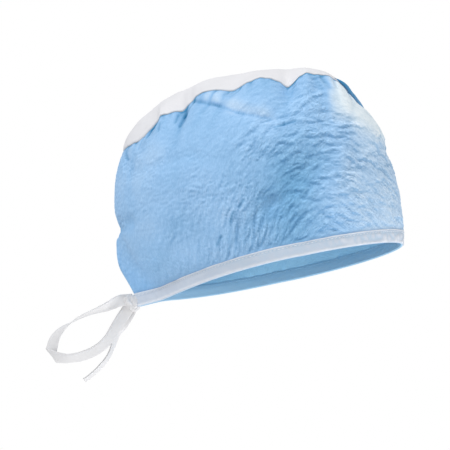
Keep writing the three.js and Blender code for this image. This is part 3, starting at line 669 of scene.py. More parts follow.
class Cloth:
    """Points and faces of one piece as it is made. Each point has four values for the materials:
    shade, from -1 for pale to 1 for deep, mostly painted highlight and painted shade; relief, from 0
    for smooth cloth to 1 for strong crepe, which also scales the crepe's painted shading; inside, 1
    on the lining, painted lighter, and near 1 on stitches inside, painted in shade; and hollow,
    painted highlight from -1 on a crest to painted shade at 1 in a hollow."""

    def __init__(self):
        self.points = []
        self.values = {"shade": [], "relief": [], "inside": [], "hollow": []}
        self.faces = []
        self.count = 0

    def add(self, points, **given):
        """Adds an array of points, and returns their numbers in the same layout."""
        flat = points.reshape(-1, 3)
        ids = np.arange(self.count, self.count + len(flat)).reshape(points.shape[:-1])
        self.points.append(flat)
        for key, value in {**dict.fromkeys(self.values, 0.0), **given}.items():
            self.values[key].append(np.broadcast_to(value, points.shape[:-1]).reshape(-1))
        self.count += len(flat)
        return ids

    def grid(self, ids, closed_first=False, closed_second=False):
        """Faces over a grid of point numbers, which may close on itself either way."""
        a = np.concatenate((ids, ids[:1])) if closed_first else ids
        if closed_second:
            a = np.concatenate((a, a[:, :1]), axis=1)
        quads = np.stack((a[:-1, :-1], a[1:, :-1], a[1:, 1:], a[:-1, 1:]), axis=-1).reshape(-1, 4)
        self.faces.extend(quads.tolist())

    def tube(self, rings):
        """Faces over a row of closed rings of point numbers, and over its two ends."""
        self.grid(rings, closed_second=True)
        self.faces.append(rings[0].tolist())
        self.faces.append(rings[-1, ::-1].tolist())

    def fan(self, hub, row):
        """Faces from one point to a row of points."""
        self.faces.extend([int(hub), int(a), int(b)] for a, b in zip(row[:-1], row[1:]))

    def bridge(self, left, right):
        """Faces between two rows of different length."""
        i = j = 0
        while i < len(left) - 1 or j < len(right) - 1:
            ahead = (i + 1) / (len(left) - 1) if i < len(left) - 1 else 2
            other = (j + 1) / (len(right) - 1) if j < len(right) - 1 else 2
            if ahead <= other:
                self.faces.append([int(left[i]), int(left[i + 1]), int(right[j])])
                i += 1
            else:
                self.faces.append([int(left[i]), int(right[j + 1]), int(right[j])])
                j += 1

    def build(self, name):
        """The finished mesh object, smooth. Its attributes are its points' values, and grain, which
        is where they lie along the crepe's arches."""
        mesh = bpy.data.meshes.new(name)
        points = np.concatenate(self.points)
        faces = [list(dict.fromkeys(face)) for face in self.faces]
        mesh.from_pydata(points.tolist(), [], [face for face in faces if len(face) > 2])
        for key, values in self.values.items():
            attribute = mesh.attributes.new(key, "FLOAT", "POINT")
            attribute.data.foreach_set("value", np.concatenate(values).astype(np.float32))
        grain = mesh.attributes.new("grain", "FLOAT_VECTOR", "POINT")
        grain.data.foreach_set("vector", arched(points).ravel().astype(np.float32))
        mesh.polygons.foreach_set("use_smooth", [True] * len(mesh.polygons))
        mesh.update()
        piece = bpy.data.objects.new(name, mesh)
        bpy.context.scene.collection.objects.link(piece)
        return piece


def finish(piece, slot, material, *nodes):
    """Puts a piece on the frame in place of its CAD nodes."""
    piece.data.materials.append(material)
    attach(piece, "root")
    if nodes:
        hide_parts(*nodes)
    return piece


def stitch_rows(name, line, outward, along, front, back, sizes, hidden=0.0):
    """Stitches of thread on both faces of a cloth, each lying on its point of the seam's line and
    dipping in at its ends. front and back are how far out of the line the two rows lie, and
    hidden is the inside value of the back one, which paints that row in painted shade."""
    bpy.ops.object.select_all(action="DESELECT")
    bpy.ops.mesh.primitive_uv_sphere_add(segments=8, ring_count=6, radius=0.5)
    pattern = bpy.context.object
    vertices = np.array([vertex.co[:] for vertex in pattern.data.vertices])
    faces = [list(face.vertices) for face in pattern.data.polygons]
    bpy.data.objects.remove(pattern)

    bowed = vertices[:, 2:3] * sizes.stitch_length
    dip = -0.35 * sizes.thread_width * (2 * vertices[:, 2:3]) ** 4
    cloth = Cloth()
    for outs, height, inside in ((outward, front, 0.0), (-outward, back, hidden)):
        for place, out, run in zip(line + outs * height, outs, along):
            ids = cloth.add(
                place + run * bowed + np.cross(out, run) * vertices[:, :1] * sizes.thread_width
                + out * (vertices[:, 1:2] * sizes.thread_width + dip), inside=inside)
            cloth.faces.extend(ids[face].tolist() for face in faces)
    return cloth.build(name)


# ---------------- materials


def feed(tree, node, inputs):
    """Gives a node's inputs their sockets or plain values."""
    for key, value in inputs.items():
        socket = node.inputs[key]
        if isinstance(value, bpy.types.NodeSocket):
            tree.links.new(value, socket)
        elif socket.type == "RGBA":
            socket.default_value = (*value, 1)
        else:
            socket.default_value = value


def new_material(name, roughness, sheen):
    """A cloth material, its node tree, its shader and its object coordinates."""
    material = bpy.data.materials.new(name)
    material.use_nodes = True
    tree = material.node_tree
    shader = tree.nodes["Principled BSDF"]
    feed(tree, shader, {"Roughness": roughness, "Specular IOR Level": 0.25,
                        "Sheen Weight": sheen, "Sheen Roughness": 0.6})
    return material, tree, shader, tree.nodes.new("ShaderNodeTexCoord").outputs["Object"]


def noise_texture(tree, place, scale, detail, stretch=(1, 1, 1)):
    """Noise over the piece, stretched by the three numbers."""
    mapping = tree.nodes.new("ShaderNodeMapping")
    feed(tree, mapping, {"Vector": place, "Scale": stretch})
    texture = tree.nodes.new("ShaderNodeTexNoise")
    feed(tree, texture, {"Vector": mapping.outputs["Vector"], "Scale": scale, "Detail": detail})
    return texture.outputs["Fac"]


def bump(tree, shader, height, strength, distance, below=None):
    """One layer of bump, over the layer below it."""
    node = tree.nodes.new("ShaderNodeBump")
    feed(tree, node, {"Height": height, "Strength": strength, "Distance": distance})
    if below:
        feed(tree, node, {"Normal": below})
    feed(tree, shader, {"Normal": node.outputs["Normal"]})
    return node.outputs["Normal"]


def mixed(tree, factor, first, second, blend="MIX"):
    """A colour between two, by a factor."""
    mix = tree.nodes.new("ShaderNodeMix")
    mix.data_type = "RGBA"
    mix.blend_type = blend
    feed(tree, mix, {"Factor": factor, "A": first, "B": second})
    return mix.outputs["Result"]


def ranged(tree, value, low, high, to_low, to_high):
    """A value carried from one range to another."""
    node = tree.nodes.new("ShaderNodeMapRange")
    feed(tree, node, {"Value": value, "From Min": low, "From Max": high,
                      "To Min": to_low, "To Max": to_high})
    return node.outputs["Result"]


def toned(tree, tone, plain, deep, pale):
    """The plain colour where the tone is 0, the deep one at 1 and the pale one at -1."""
    darker = mixed(tree, ranged(tree, tone, 0, 1, 0, 1), plain, deep)
    return mixed(tree, ranged(tree, tone, 0, -1, 0, 1), darker, pale)


def shaded(colour, share):
    """A colour made darker or lighter."""
    return tuple(min(channel * share, 1.0) for channel in colour)


def point_value(tree, name, output="Fac"):
    """A value that the mesh's points hold."""
    node = tree.nodes.new("ShaderNodeAttribute")
    node.attribute_name = name
    return node.outputs[output]


def combined(tree, operation, first, second):
    """Two values, or a value and a number, joined by a sum or a product."""
    node = tree.nodes.new("ShaderNodeMath")
    node.operation = operation
    feed(tree, node, {0: first, 1: second})
    return node.outputs["Value"]


def crepe_material(colours):
    """Light blue crepe nonwoven with random patches and fibres, painted highlight on its crests and
    painted shade in its folds.
    """
    material, tree, shader, place = new_material("blue_crepe", 0.8, 0.10)
    relief = point_value(tree, "relief")
    patches = noise_texture(tree, place, 24, 3)
    fibres = noise_texture(tree, place, 1000, 4, (0.8, 0.8, 1.7))
    wrinkles = noise_texture(tree, point_value(tree, "grain", "Vector"), 1, 2, (220, 220, 400))
    lumps = combined(tree, "ABSOLUTE", ranged(tree, wrinkles, 0, 1, -1, 1), 0.0)

    # The shade value paints shade towards the deep blue and highlight towards the pale blue; the
    # patches and fibres are random tone.
    tone = combined(tree, "ADD", point_value(tree, "shade"),
                    ranged(tree, patches, 0.3, 0.7, -0.07, 0.07))
    tone = combined(tree, "ADD", tone, ranged(tree, fibres, 0.3, 0.7, 0.05, -0.05))
    blue = toned(tree, tone, colours.panel_blue, colours.panel_shade_blue, colours.panel_highlight_blue)
    # Painted highlight on the wrinkles' crests and painted shade in their hollows.
    depth = combined(tree, "MULTIPLY", ranged(tree, lumps, 0.0, 0.30, 0.34, -0.20),
                     combined(tree, "ADD", relief, 0.22))
    depth = combined(tree, "ADD", depth, point_value(tree, "hollow"))
    tint = mixed(tree, ranged(tree, depth, -1, 1, 0, 1), CREST_HIGHLIGHT_TINT, HOLLOW_SHADE_TINT)
    lit = mixed(tree, 1.0, blue, tint, "MULTIPLY")
    # The lining is painted lighter, as painted light for the light that comes through the cloth.
    lined = mixed(tree, point_value(tree, "inside"), lit, colours.lining_lit_blue)

    strength = combined(tree, "ADD", combined(tree, "MULTIPLY", relief, 0.6), 0.3)
    coarse = bump(tree, shader, lumps, strength, 0.0012)
    bump(tree, shader, fibres, 0.35, 0.0002, coarse)
    feed(tree, shader, {"Base Color": lined,
                        "Roughness": ranged(tree, patches, 0.3, 0.7, 0.74, 0.88)})
    return material


def nonwoven_material(name, colour, sheen, deep, dots):
    """White nonwoven: matted fibres and a fine pattern of bonded dots, with painted shade and
    painted highlight by its shade value.
    """
    material, tree, shader, place = new_material(name, 0.75, sheen)
    patches = noise_texture(tree, place, 35, 3)
    fibres = noise_texture(tree, place, 1100, 4)
    patchy = mixed(tree, ranged(tree, patches, 0.35, 0.7, 0, 1), shaded(colour, 0.965),
                   shaded(colour, 1.02))
    # Painted shade towards the deep colour and painted highlight towards the highlight white, by the
    # shade value.
    white = toned(tree, point_value(tree, "shade"), patchy, deep, PAINTED_HIGHLIGHT_WHITE)
    fibred = mixed(tree, ranged(tree, fibres, 0.3, 0.75, 0, 0.1), white, shaded(colour, 1.1))

    cells = tree.nodes.new("ShaderNodeTexVoronoi")
    feed(tree, cells, {"Vector": place, "Scale": dots})
    bonded = bump(tree, shader, cells.outputs["Distance"], 0.25, 0.0002)
    soft = bump(tree, shader, noise_texture(tree, place, 130, 3), 0.3, 0.0008, bonded)
    bump(tree, shader, fibres, 0.3, 0.0002, soft)
    feed(tree, shader, {"Base Color": fibred,
                        "Roughness": ranged(tree, patches, 0.3, 0.7, 0.7, 0.82)})
    return material


def thread_material(colours):
    """Spun sewing thread; where it lies inside, it is painted in the binding's blue as painted
    shade.
    """
    material, tree, shader, place = new_material("thread", 0.6, 0.3)
    strands = noise_texture(tree, place, 2600, 2)
    spun = mixed(tree, strands, shaded(colours.thread_white, 0.9), colours.thread_white)
    # The stitches inside are painted in the binding's blue, as painted shade.
    lined = mixed(tree, point_value(tree, "inside"), spun, BINDING_BLUE_AND_SHADE)
    feed(tree, shader, {"Base Color": lined})
    bump(tree, shader, strands, 0.4, 0.0001)
    return material


# ---------------- panels


def crown_ribs(seam_row):
    """The crown's outer face: ribs from the right of the seam over the top to its left."""
    station = np.arange(HALF_COLUMNS + 1)
    share = station / HALF_COLUMNS
    right, left = seam_row[HALF_COLUMNS - station], seam_row[(HALF_COLUMNS + station) % COLUMNS]
    across = np.linspace(-1, 1, CROWN_CELLS + 1)
    across = np.sign(across) * np.abs(across) ** 0.85
    ribs = right[:, None] + (left - right)[:, None] * ((across + 1) / 2)[None, :, None]
    even = ring_points(share, np.array([1.0]))[:, 0, 2]
    turn = np.minimum(share / FRONT_SHARE, 1) * (math.pi / 2)
    quarter = np.clip((share - FRONT_SHARE) / (1 - FRONT_SHARE), 0, 1)
    fullness = 1 + CROWN_FULLNESS * np.sin(quarter * math.pi) ** 2
    rise = CROWN_RISE * np.where(share < FRONT_SHARE, np.sin(turn) ** CROWN_FRONT_CURVE,
                                 fullness * (1 - quarter ** CROWN_BACK_CURVE))
    from_seam = 1 - np.abs(across) ** CROWN_ROUNDNESS
    ribs[..., 2] += (even[:, None] - ribs[..., 2] + rise[:, None]) * from_seam[None, :]
    return ribs


def round_the_seam(right, left, front, back):
    """What the crown has at its right and left ends, rib by rib, and at its two tips, in the
    seam's own order of columns."""
    loop = np.empty((COLUMNS, *right.shape[1:]), dtype=right.dtype)
    loop[HALF_COLUMNS - 1:0:-1] = right
    loop[HALF_COLUMNS + 1:] = left
    loop[HALF_COLUMNS], loop[0] = front, back
    return loop


def crown_edge(ribs):
    """The crown's points next to the seam."""
    middle = CROWN_CELLS // 2
    return round_the_seam(ribs[1:-1, 3], ribs[1:-1, -4], ribs[4, middle], ribs[-5, middle])


def seam_chain(seam, inward, to_own, edge, sizes):
    """Rows of points by which a sheet's edge rolls over into the seam and turns in."""
    start = seam + to_own * (sizes.seam_gap / 2)
    roll_end = start + inward * sizes.seam_roll
    rows = [edge * (1 - t) ** 2 + start * 2 * t * (1 - t) + roll_end * t ** 2
            for t in (0.3, 0.55, 0.8, 1.0)]
    tip = start + inward * sizes.seam_allowance
    wall = to_own * sizes.panel_wall
    rows += [tip, tip + wall, roll_end + wall + inward * sizes.panel_wall]
    return np.stack(rows, axis=1)


def side_relief(form, level, down, sizes):
    """The crepe, dents, pleats and creases of the side panel: how far out each point lies, and
    its painted shade, relief and hollow, the painted shade and highlight of its wrinkles."""
    clear = smooth(CREPE_BEGIN, CREPE_FULL, level)
    calm = clear * smooth(0, 0.0022, down)
    along = run_along(form[:, -1])[:, None] + 0 * down
    pleats = seam_pleats(along, down) * clear
    creases = fold_depth(form, CREASES) * clear
    strength = crepe_strength(form) * (0.6 + 0.4 * smooth(0, 0.02, down))
    lumps = crepe(form) * strength * calm
    wrinkles = sizes.crepe_height * lumps
    dents = crumples(form, sizes.crumple_height) * smooth(0.07, 0.2, level) * smooth(0, 0.012, down)
    out = join_behind(wrinkles + dents - sizes.pleat_depth * pleats - creases, level)

    # Painted shadow: a dark line with gaps along the crown seam; painted shade in pleats, creases
    # and folds, and the regions' painted shade and highlight.
    seam_shadow_mask = smooth(-0.25, 0.20, noise_at(form, 0.004, 13))
    shade = 0.6 * pleats + 0.42 * creases / SHARP_CREASE
    shade += 1.4 * seam_shadow_mask * np.exp(-((down / SEAM_LINE_SHADE) ** 2))
    shade += 0.16 * np.clip(fold_depth(form, FOLDS) / DEEP_FOLD, -1, 1) * clear
    shade += region_shading_and_tone(form)
    # Painted shade and highlight of the crepe: faces turned up are lightened, faces turned down
    # darkened, as under light from above.
    facing_up = np.gradient(wrinkles, axis=1) / (np.gradient(down, axis=1) - 1e-6)
    hollow = -0.30 * lumps - 1.9 * np.clip(facing_up, -0.6, 0.6)
    hollow += 0.6 * pleats + 0.5 * creases / SHARP_CREASE
    hollow += 1.2 * seam_shadow_mask * np.exp(-((down / SEAM_LINE_HOLLOW) ** 2))
    return out, np.clip(shade, -1, 1), strength * calm, np.clip(hollow, -1, 1)


def side_lining(outer, normals, level, sizes):
    """The side panel's inner face, a wall's thickness behind the deepest dents near each of its
    points, and the levels of its rows."""
    lining_level = np.concatenate((np.linspace(0.0, 0.060, 4),
                                   np.linspace(0.076, CREPE_CUT, LINING_ROWS - 4)))
    form = panel_form(AROUND, lining_level)
    rank = np.interp(level, lining_level, np.arange(LINING_ROWS))
    below = rank.astype(int).clip(0, LINING_ROWS - 2)
    part = (rank - below)[None, :, None]
    behind = form[:, below] * (1 - part) + form[:, below + 1] * part
    room = np.sum((outer - behind) * normals, axis=-1)
    room = [room[:, np.abs(rank - row) <= 1].min(axis=1) for row in range(LINING_ROWS)]
    room = np.stack(room, axis=1)
    room = np.minimum(room, np.minimum(np.roll(room, 1, axis=0), np.roll(room, -1, axis=0)))
    lining = form + surface_normals(form, lining_level) * (room - sizes.panel_wall)[..., None]
    return lining, lining_level


def make_side_panel(sizes):
    """The gathered crepe panel that goes round the head, and its form without crepe."""
    level = np.append(np.linspace(0, CREPE_CUT, SIDE_ROWS), 1.0)
    form = panel_form(AROUND, level)
    normals = surface_normals(form, level)
    down = run_along(form[:, ::-1])[:, ::-1]
    out, shade, relief, hollow = side_relief(form, level, down, sizes)
    outer = (form + normals * out[..., None])[:, :-1]
    lining, lining_level = side_lining(outer, normals[:, :-1], level[:-1], sizes)
    seam, inward, to_crown = seam_joint(form, crown_edge(crown_ribs(form[:, -1])))
    closed = np.arange(COLUMNS + 1) % COLUMNS
    chain = seam_chain(seam[closed], inward[closed], -to_crown[closed], outer[:, -1], sizes)

    cloth = Cloth()
    outer_ids = cloth.add(outer, shade=shade[:, :-1], relief=relief[:, :-1], hollow=hollow[:, :-1])
    # Painted shade on the seam's roll.
    chain_ids = cloth.add(chain, shade=0.9)
    # The lining is painted lighter, as painted light.
    lining_ids = cloth.add(lining[:, ::-1], inside=1.0)
    rows = np.concatenate((outer_ids, chain_ids, lining_ids), axis=1)
    open_rows = np.count_nonzero(level < SLIT_TOP)
    open_lining = np.count_nonzero(lining_level < SLIT_TOP)
    rows[-1, open_rows:-open_lining] = rows[0, open_rows:-open_lining]
    cloth.grid(rows, closed_second=True)
    for column, way in ((0, 1), (-1, -1)):
        edges = rows[column, :open_rows + 1], rows[column, ::-1][:open_lining + 1]
        cloth.bridge(*edges[::way])
    add_front_welt(cloth, seam, inward)
    return cloth.build("blue_side_panel"), form


def add_front_welt(cloth, seam, inward):
    """The allowance that stands out along the front of the seam, rolled over on itself."""
    columns = np.flatnonzero(seam[:, 0] > WELT_BEGINS)
    columns = np.arange(columns[0], columns[-1] + 1)
    middle, out = seam[columns], -inward[columns]
    side = unit(np.cross(out, unit(np.gradient(middle, axis=0))))
    ends = fade_ends(len(middle), 8)
    turns = np.linspace(0, 2 * math.pi, 11)[:-1]
    wobble = 0.0002 * noise_at(middle, 0.006, 31)
    tall = (WELT_HALF_HEIGHT * ends + 0.0001)[:, None, None]
    thick = (WELT_HALF_WALL * ends + 0.0001)[:, None, None]
    centre = middle + out * (WELT_HALF_WALL + 0.0006 * ends + wobble)[:, None]
    rings = (centre[:, None] + out[:, None] * np.cos(turns)[None, :, None] * tall
             + side[:, None] * np.sin(turns)[None, :, None] * thick)
    # Painted shade: the welt is painted darker, most towards its back end.
    cloth.tube(cloth.add(rings, shade=0.40 + 0.55 * smooth(0.075, 0.050, middle[:, :1])))


def make_crown_panel(sizes):
    """The smooth white panel over the top of the head."""
    level = np.append(np.linspace(0.9, CREPE_CUT, 12), 1.0)
    form = panel_form(AROUND, level)
    ribs = crown_ribs(form[:, -1])
    seam, inward, to_crown = seam_joint(form, crown_edge(ribs))

    inner = ribs[1:-1]
    normals = grid_normals(inner.transpose(1, 0, 2)).transpose(1, 0, 2)
    normals = normals * np.sign(normals[..., 2:3])
    down = np.minimum(np.linalg.norm(inner - inner[:, :1], axis=-1),
                      np.linalg.norm(inner - inner[:, -1:], axis=-1))
    deepest = down.max(axis=1, keepdims=True)
    soft = noise_at(inner, (0.030, 0.020, 0.03), 41) + 0.35 * creased(noise_at(inner, 0.018, 42))
    out = CROWN_DENTS * soft * smooth(0, 0.012, down) * smooth(0, 0.012, deepest)
    outer = inner + normals * out[..., None]

    cut = np.minimum(sizes.seam_roll / np.maximum(deepest, 1e-6), 0.35) * (CROWN_CELLS // 2)
    keep = cut + np.arange(CROWN_CELLS + 1) * (1 - 2 * cut / CROWN_CELLS)
    low = np.floor(keep).astype(int).clip(0, CROWN_CELLS - 1)
    part = (keep - low)[..., None]
    rib = np.arange(len(inner))[:, None]
    outer = outer[rib, low] * (1 - part) + outer[rib, low + 1] * part
    under = outer - normals * sizes.panel_wall
    front, back = (ribs[row, CROWN_CELLS // 2] * 0.6 + seam[column] * 0.4
                   for row, column in ((1, HALF_COLUMNS), (-2, 0)))
    edge = round_the_seam(outer[:, 0], outer[:, -1], front, back)
    chain = seam_chain(seam, inward, to_crown, edge, sizes)

    cloth = Cloth()
    # Painted highlight on the outer face beside the seam; painted shade on the underside and on the
    # seam's roll.
    outer_ids = cloth.add(outer, shade=-0.6 * np.exp(-down[rib, low] / 0.0010))
    under_ids = cloth.add(under, shade=0.1)
    tips = cloth.add(np.stack((front, back)))
    under_tips = cloth.add(np.stack((front, back)) - np.array((0, 0, sizes.panel_wall)))
    chain_ids = cloth.add(chain, shade=0.2)
    cloth.grid(outer_ids.T)
    cloth.grid(under_ids)
    loops = []
    for ids, ends, way in ((outer_ids, tips, 1), (under_ids, under_tips, -1)):
        cloth.fan(ends[0], ids[0, ::-way])
        cloth.fan(ends[1], ids[-1, ::way])
        loops.append(round_the_seam(ids[:, 0], ids[:, -1], *ends)[:, None])
    cloth.grid(np.concatenate((loops[0], chain_ids, loops[1]), axis=1)[::-1], closed_first=True)
    return cloth.build("white_crown_panel")


# ---------------- binding


def up_the_panel(form, height):
    """The side panel's points at a height over its brim, with the ways out and up there."""
    near_brim = form[:, :BRIM_ROWS]
    climbed = run_along(near_brim)
    row = (np.sum(climbed <= height, axis=1) - 1).clip(0, BRIM_ROWS - 2)
    column = np.arange(len(form))
    below, above = near_brim[column, row], near_brim[column, row + 1]
    share = ((height - climbed[column, row]) / np.linalg.norm(above - below, axis=-1))[:, None]
    normals = grid_normals(near_brim)
    part = share.clip(0, 1)
    out = unit(normals[column, row] * (1 - part) + normals[column, row + 1] * part)
    return below * (1 - share) + above * share, out, unit(above - below)


def binding_section(width, wall, near, far, back):
    """The folded tape's section, out and up from the brim's edge: down its outer face, round the
    fold, up its inner layer, down between that layer and the panel, and up the panel's face."""
    radius = (near + far) / 2
    middle = (near - far) / 2
    skin = BINDING_SKIN
    turns = np.linspace(0, math.pi, 9)
    return (
        [(near - wall * 0.35, width), (near + 0.0001, width - 0.00022)]
        + [(near, height) for height in np.linspace(width - 0.0005, 0.0004, 17)]
        + [(middle + radius * math.cos(turn), -radius * 0.8 * math.sin(turn)) for turn in turns]
        + [(-far, height) for height in np.linspace(0.0004, width - 0.0006, 10)]
        + [(-back - 0.00003, width - 0.0003)]
        + [(-back, height) for height in np.linspace(width - 0.0003, 0.0, 12)]
        + [(middle, -radius * 0.8 + wall)]
        + [(skin, height) for height in np.linspace(0.0, width - 0.0001, 19)])


def make_binding(sizes, form):
    """Tape folded over the side panel's lower edge, all the way round."""
    wall, width = sizes.binding_wall, sizes.binding_width
    near, back = BINDING_SKIN + wall, sizes.panel_wall + BINDING_SKIN
    far = back + wall
    brim = form[:, 0]
    flutter = noise_at(brim, 0.011, 51)
    rough = 0.35 + 1.1 * smooth(0.02, 0.07, brim[:, 0])
    rings = []
    shades = []
    for out, height in binding_section(width, wall, near, far, back):
        share = np.clip(height / width, 0, 1)
        point, outward, up = up_the_panel(form, height)
        across = point + outward * out
        tilted = across + np.array((0.6, 0.0, 0.0)) * across[:, 2:3]
        lumps = lumpy(noise_at(tilted, (0.0056, 0.0056, 0.0070), 53)) * rough
        sewn = math.exp(-(((height - stitch_height(sizes)) / BINDING_SEAM_SPREAD) ** 2))
        puff = BINDING_PUFF * flutter + BINDING_LUMPS * lumps * (1 - sewn)
        rolled = math.exp(-((height / 0.0012) ** 2))
        loose = float(0.0 <= height < width - 0.0004)
        if out > near * 0.9:
            away = out + loose * (puff - BINDING_DENT * sewn + BINDING_ROLL * rolled)
            # Painted highlight on the upper edge and on the roll at the brim.
            edged = math.exp(-(((width - height) / 0.0007) ** 2))
            # The blue showing through, with painted shade in the sewn groove and between crinkles,
            # and painted highlight on their crests.
            body = 0.12 + 0.20 * sewn - 0.30 * lumps * (1 - sewn)
            # Painted light: the binding is painted paler towards the back.
            body = body - 0.30 * smooth(-0.01, -0.09, brim[:, 0])
            shade = loose * body * (1 - edged) - 0.7 * edged - 0.6 * rolled
        elif out <= -far + 1e-6:
            thinned = wall * 0.85 * float(smooth(0.45, 1.0, share))
            away = out + thinned - loose * 0.5 * (1 - share) * np.maximum(puff, 0)
            # The inner layer: the blue showing through, and painted shade.
            shade = 0.92 + 0.06 * smooth(0.05, 0.9, share) + 0.08 * lumps
        else:
            away = out + 0 * flutter
            # Painted shade: the fold is painted darker on its inner half.
            shade = 0.1 + 0.85 * smooth(0.0, (near - far) / 2, out) + 0 * flutter
        rise = 0.00030 * flutter * share * (1 - loose)
        rings.append(point + up * rise[:, None] + outward * away[:, None])
        shades.append(shade)

    cloth = Cloth()
    ids = cloth.add(np.stack(rings, axis=1), shade=np.clip(np.stack(shades, axis=1), -1, 1))
    cloth.tube(ids[:, ::-1])
    return cloth.build("white_brim_binding")


def stitch_height(sizes):
    """Height of the binding's row of stitches above the brim's edge."""
    return sizes.binding_width - BINDING_SEAM


def binding_stitches(sizes, form):
    """The row of stitches near the binding's upper edge, outside and inside."""
    line, out, _ = up_the_panel(form, stitch_height(sizes))
    run = run_along(line)
    places = np.arange(sizes.stitch_pitch, run[-1] - sizes.stitch_pitch, sizes.stitch_pitch)
    points, outward, along = (values_at(places, run, rows)
                              for rows in (line, out, np.gradient(line, axis=0)))
    cover = BINDING_SKIN + sizes.binding_wall
    # The inside row of stitches is painted in shade.
    return stitch_rows("binding_stitches", points, unit(outward), unit(along), cover - 0.00008,
                       sizes.panel_wall + cover - STITCH_SINK, sizes, 0.9)


# ---------------- tapes and knot


def smooth_curve(route):
    """Points and directions along a smooth curve through a route's rows, evenly spaced, and the
    curve's length."""
    knots = np.array(route)
    padded = np.concatenate((2 * knots[:1] - knots[1:2], knots, 2 * knots[-1:] - knots[-2:-1]))
    t = np.linspace(0, 1, 24, endpoint=False)[:, None]
    fine = []
    for a, b, c, d in zip(padded, padded[1:], padded[2:], padded[3:]):
        fine.append(0.5 * (2 * b + (c - a) * t + (2 * a - 5 * b + 4 * c - d) * t ** 2
                           + (3 * b - a - 3 * c + d) * t ** 3))
    fine = np.concatenate((*fine, knots[-1:]))
    run = run_along(fine[:, :3])
    places = np.linspace(0, run[-1], round(run[-1] / TAPE_STEP))
    return values_at(places, run, fine), run[-1]


def folded_section(width, wall):
    """A tape folded in two along its length: a fold at one edge and two layers at the other."""
    half, skin, gap = width / 2, wall / 2, wall * 0.08
    fold = half - skin
    outline = [(x, skin) for x in np.linspace(-half, fold, 10)]
    outline += [(fold + skin * math.sin(turn), skin * math.cos(turn))
                for turn in np.linspace(0.5, 2.64, 5)]
    outline += [(x, -skin) for x in np.linspace(fold, -half + 0.0003, 10)]
    outline += [(-half + 0.0001, -skin * 0.7), (-half + 0.0001, -gap * 1.5)]
    outline += [(fold - 0.0004, -gap), (fold - 0.0004, gap), (-half, gap * 1.5)]
    return np.array(outline)


def tape_along(name, route, sizes, seed):
    """A folded tape along its route, with crinkles, its stitches, its middle line and length."""
    curve, length = smooth_curve(route)
    middle, across = curve[:, :3], unit(curve[:, 3:])
    along = unit(np.gradient(middle, axis=0))
    slant = np.linalg.norm(np.cross(across, along), axis=-1, keepdims=True)
    slant = np.maximum(slant, LEAST_SLANT)
    normal = unit(np.cross(along, across))
    wide, deep = folded_section(sizes.tape_width, sizes.tape_wall).T
    points = middle[:, None] + across[:, None] * (wide / slant)[..., None]
    crinkle = noise_at(points, 0.0055, seed) + 0.5 * noise_at(points, 0.0027, seed + 1)
    sway = noise_at(middle, 0.013, seed + 2)[:, None] * (wide / (sizes.tape_width / 2))
    lift = (TAPE_CRINKLE * crinkle + TAPE_SWAY * sway) * fade_ends(len(middle), 6)[:, None]
    cloth = Cloth()
    cloth.tube(cloth.add(points + normal[:, None] * (deep + lift)[..., None]))
    tape = cloth.build(name)

    places = np.arange(0.0025, length - 0.002, sizes.stitch_pitch)
    index = np.searchsorted(np.linspace(0, length, len(middle)), places).clip(0, len(middle) - 1)
    line = middle + across * ((TIE_SEAM - sizes.tape_width / 2) / slant) + normal * lift[:, 1:2]
    height = sizes.tape_wall / 2 - STITCH_SINK
    stitches = stitch_rows(f"{name}_stitches", line[index], normal[index], along[index], height,
                           height, sizes)
    return tape, stitches, middle, length


def squarish(wave):
    """A wave with fuller shoulders."""
    return np.sign(wave) * np.abs(wave) ** 0.7


def make_knot():
    """The knot: soft turns of tape round the drawn-together ends of the binding and the ties."""
    cloth = Cloth()
    around = np.linspace(0, 2 * math.pi, 97)[:-1, None]
    rise = np.linspace(-1, 1, 41)[None, 1:-1] * (math.pi / 2)
    wide = np.cos(rise) ** 0.45
    ball = np.stack((squarish(np.cos(around)) * wide, squarish(np.sin(around)) * wide,
                     np.sin(rise) + 0 * around), axis=-1)
    for centre, half, lean, seed in KNOT_TURNS:
        local = ball * np.array(half)
        folds = lumpy(noise_at(local, (0.0016, 0.005, 0.006), seed))
        folds += 0.4 * noise_at(local, 0.0016, seed + 5)
        local += unit(ball) * (0.00045 * folds * np.cos(rise))[..., None]
        axes = ((math.cos(lean), 0, -math.sin(lean)), (0, 1, 0), (math.sin(lean), 0, math.cos(lean)))
        turned = local @ np.array(axes) + np.array(centre)
        # Painted shade in the knot's folds and painted highlight on their crests; the end hubs get a
        # little painted shade.
        ids = cloth.add(turned, shade=np.clip(0.15 - 0.5 * folds, -0.3, 0.8))
        cloth.grid(ids, closed_first=True)
        for row, way in ((0, -1), (-1, 1)):
            hub = cloth.add(turned[:, row].mean(axis=0)[None], shade=0.2)
            cloth.fan(hub[0], np.append(ids[:, row], ids[0, row])[::way])
    return cloth.build("white_tie_knot")


# ---------------- operators


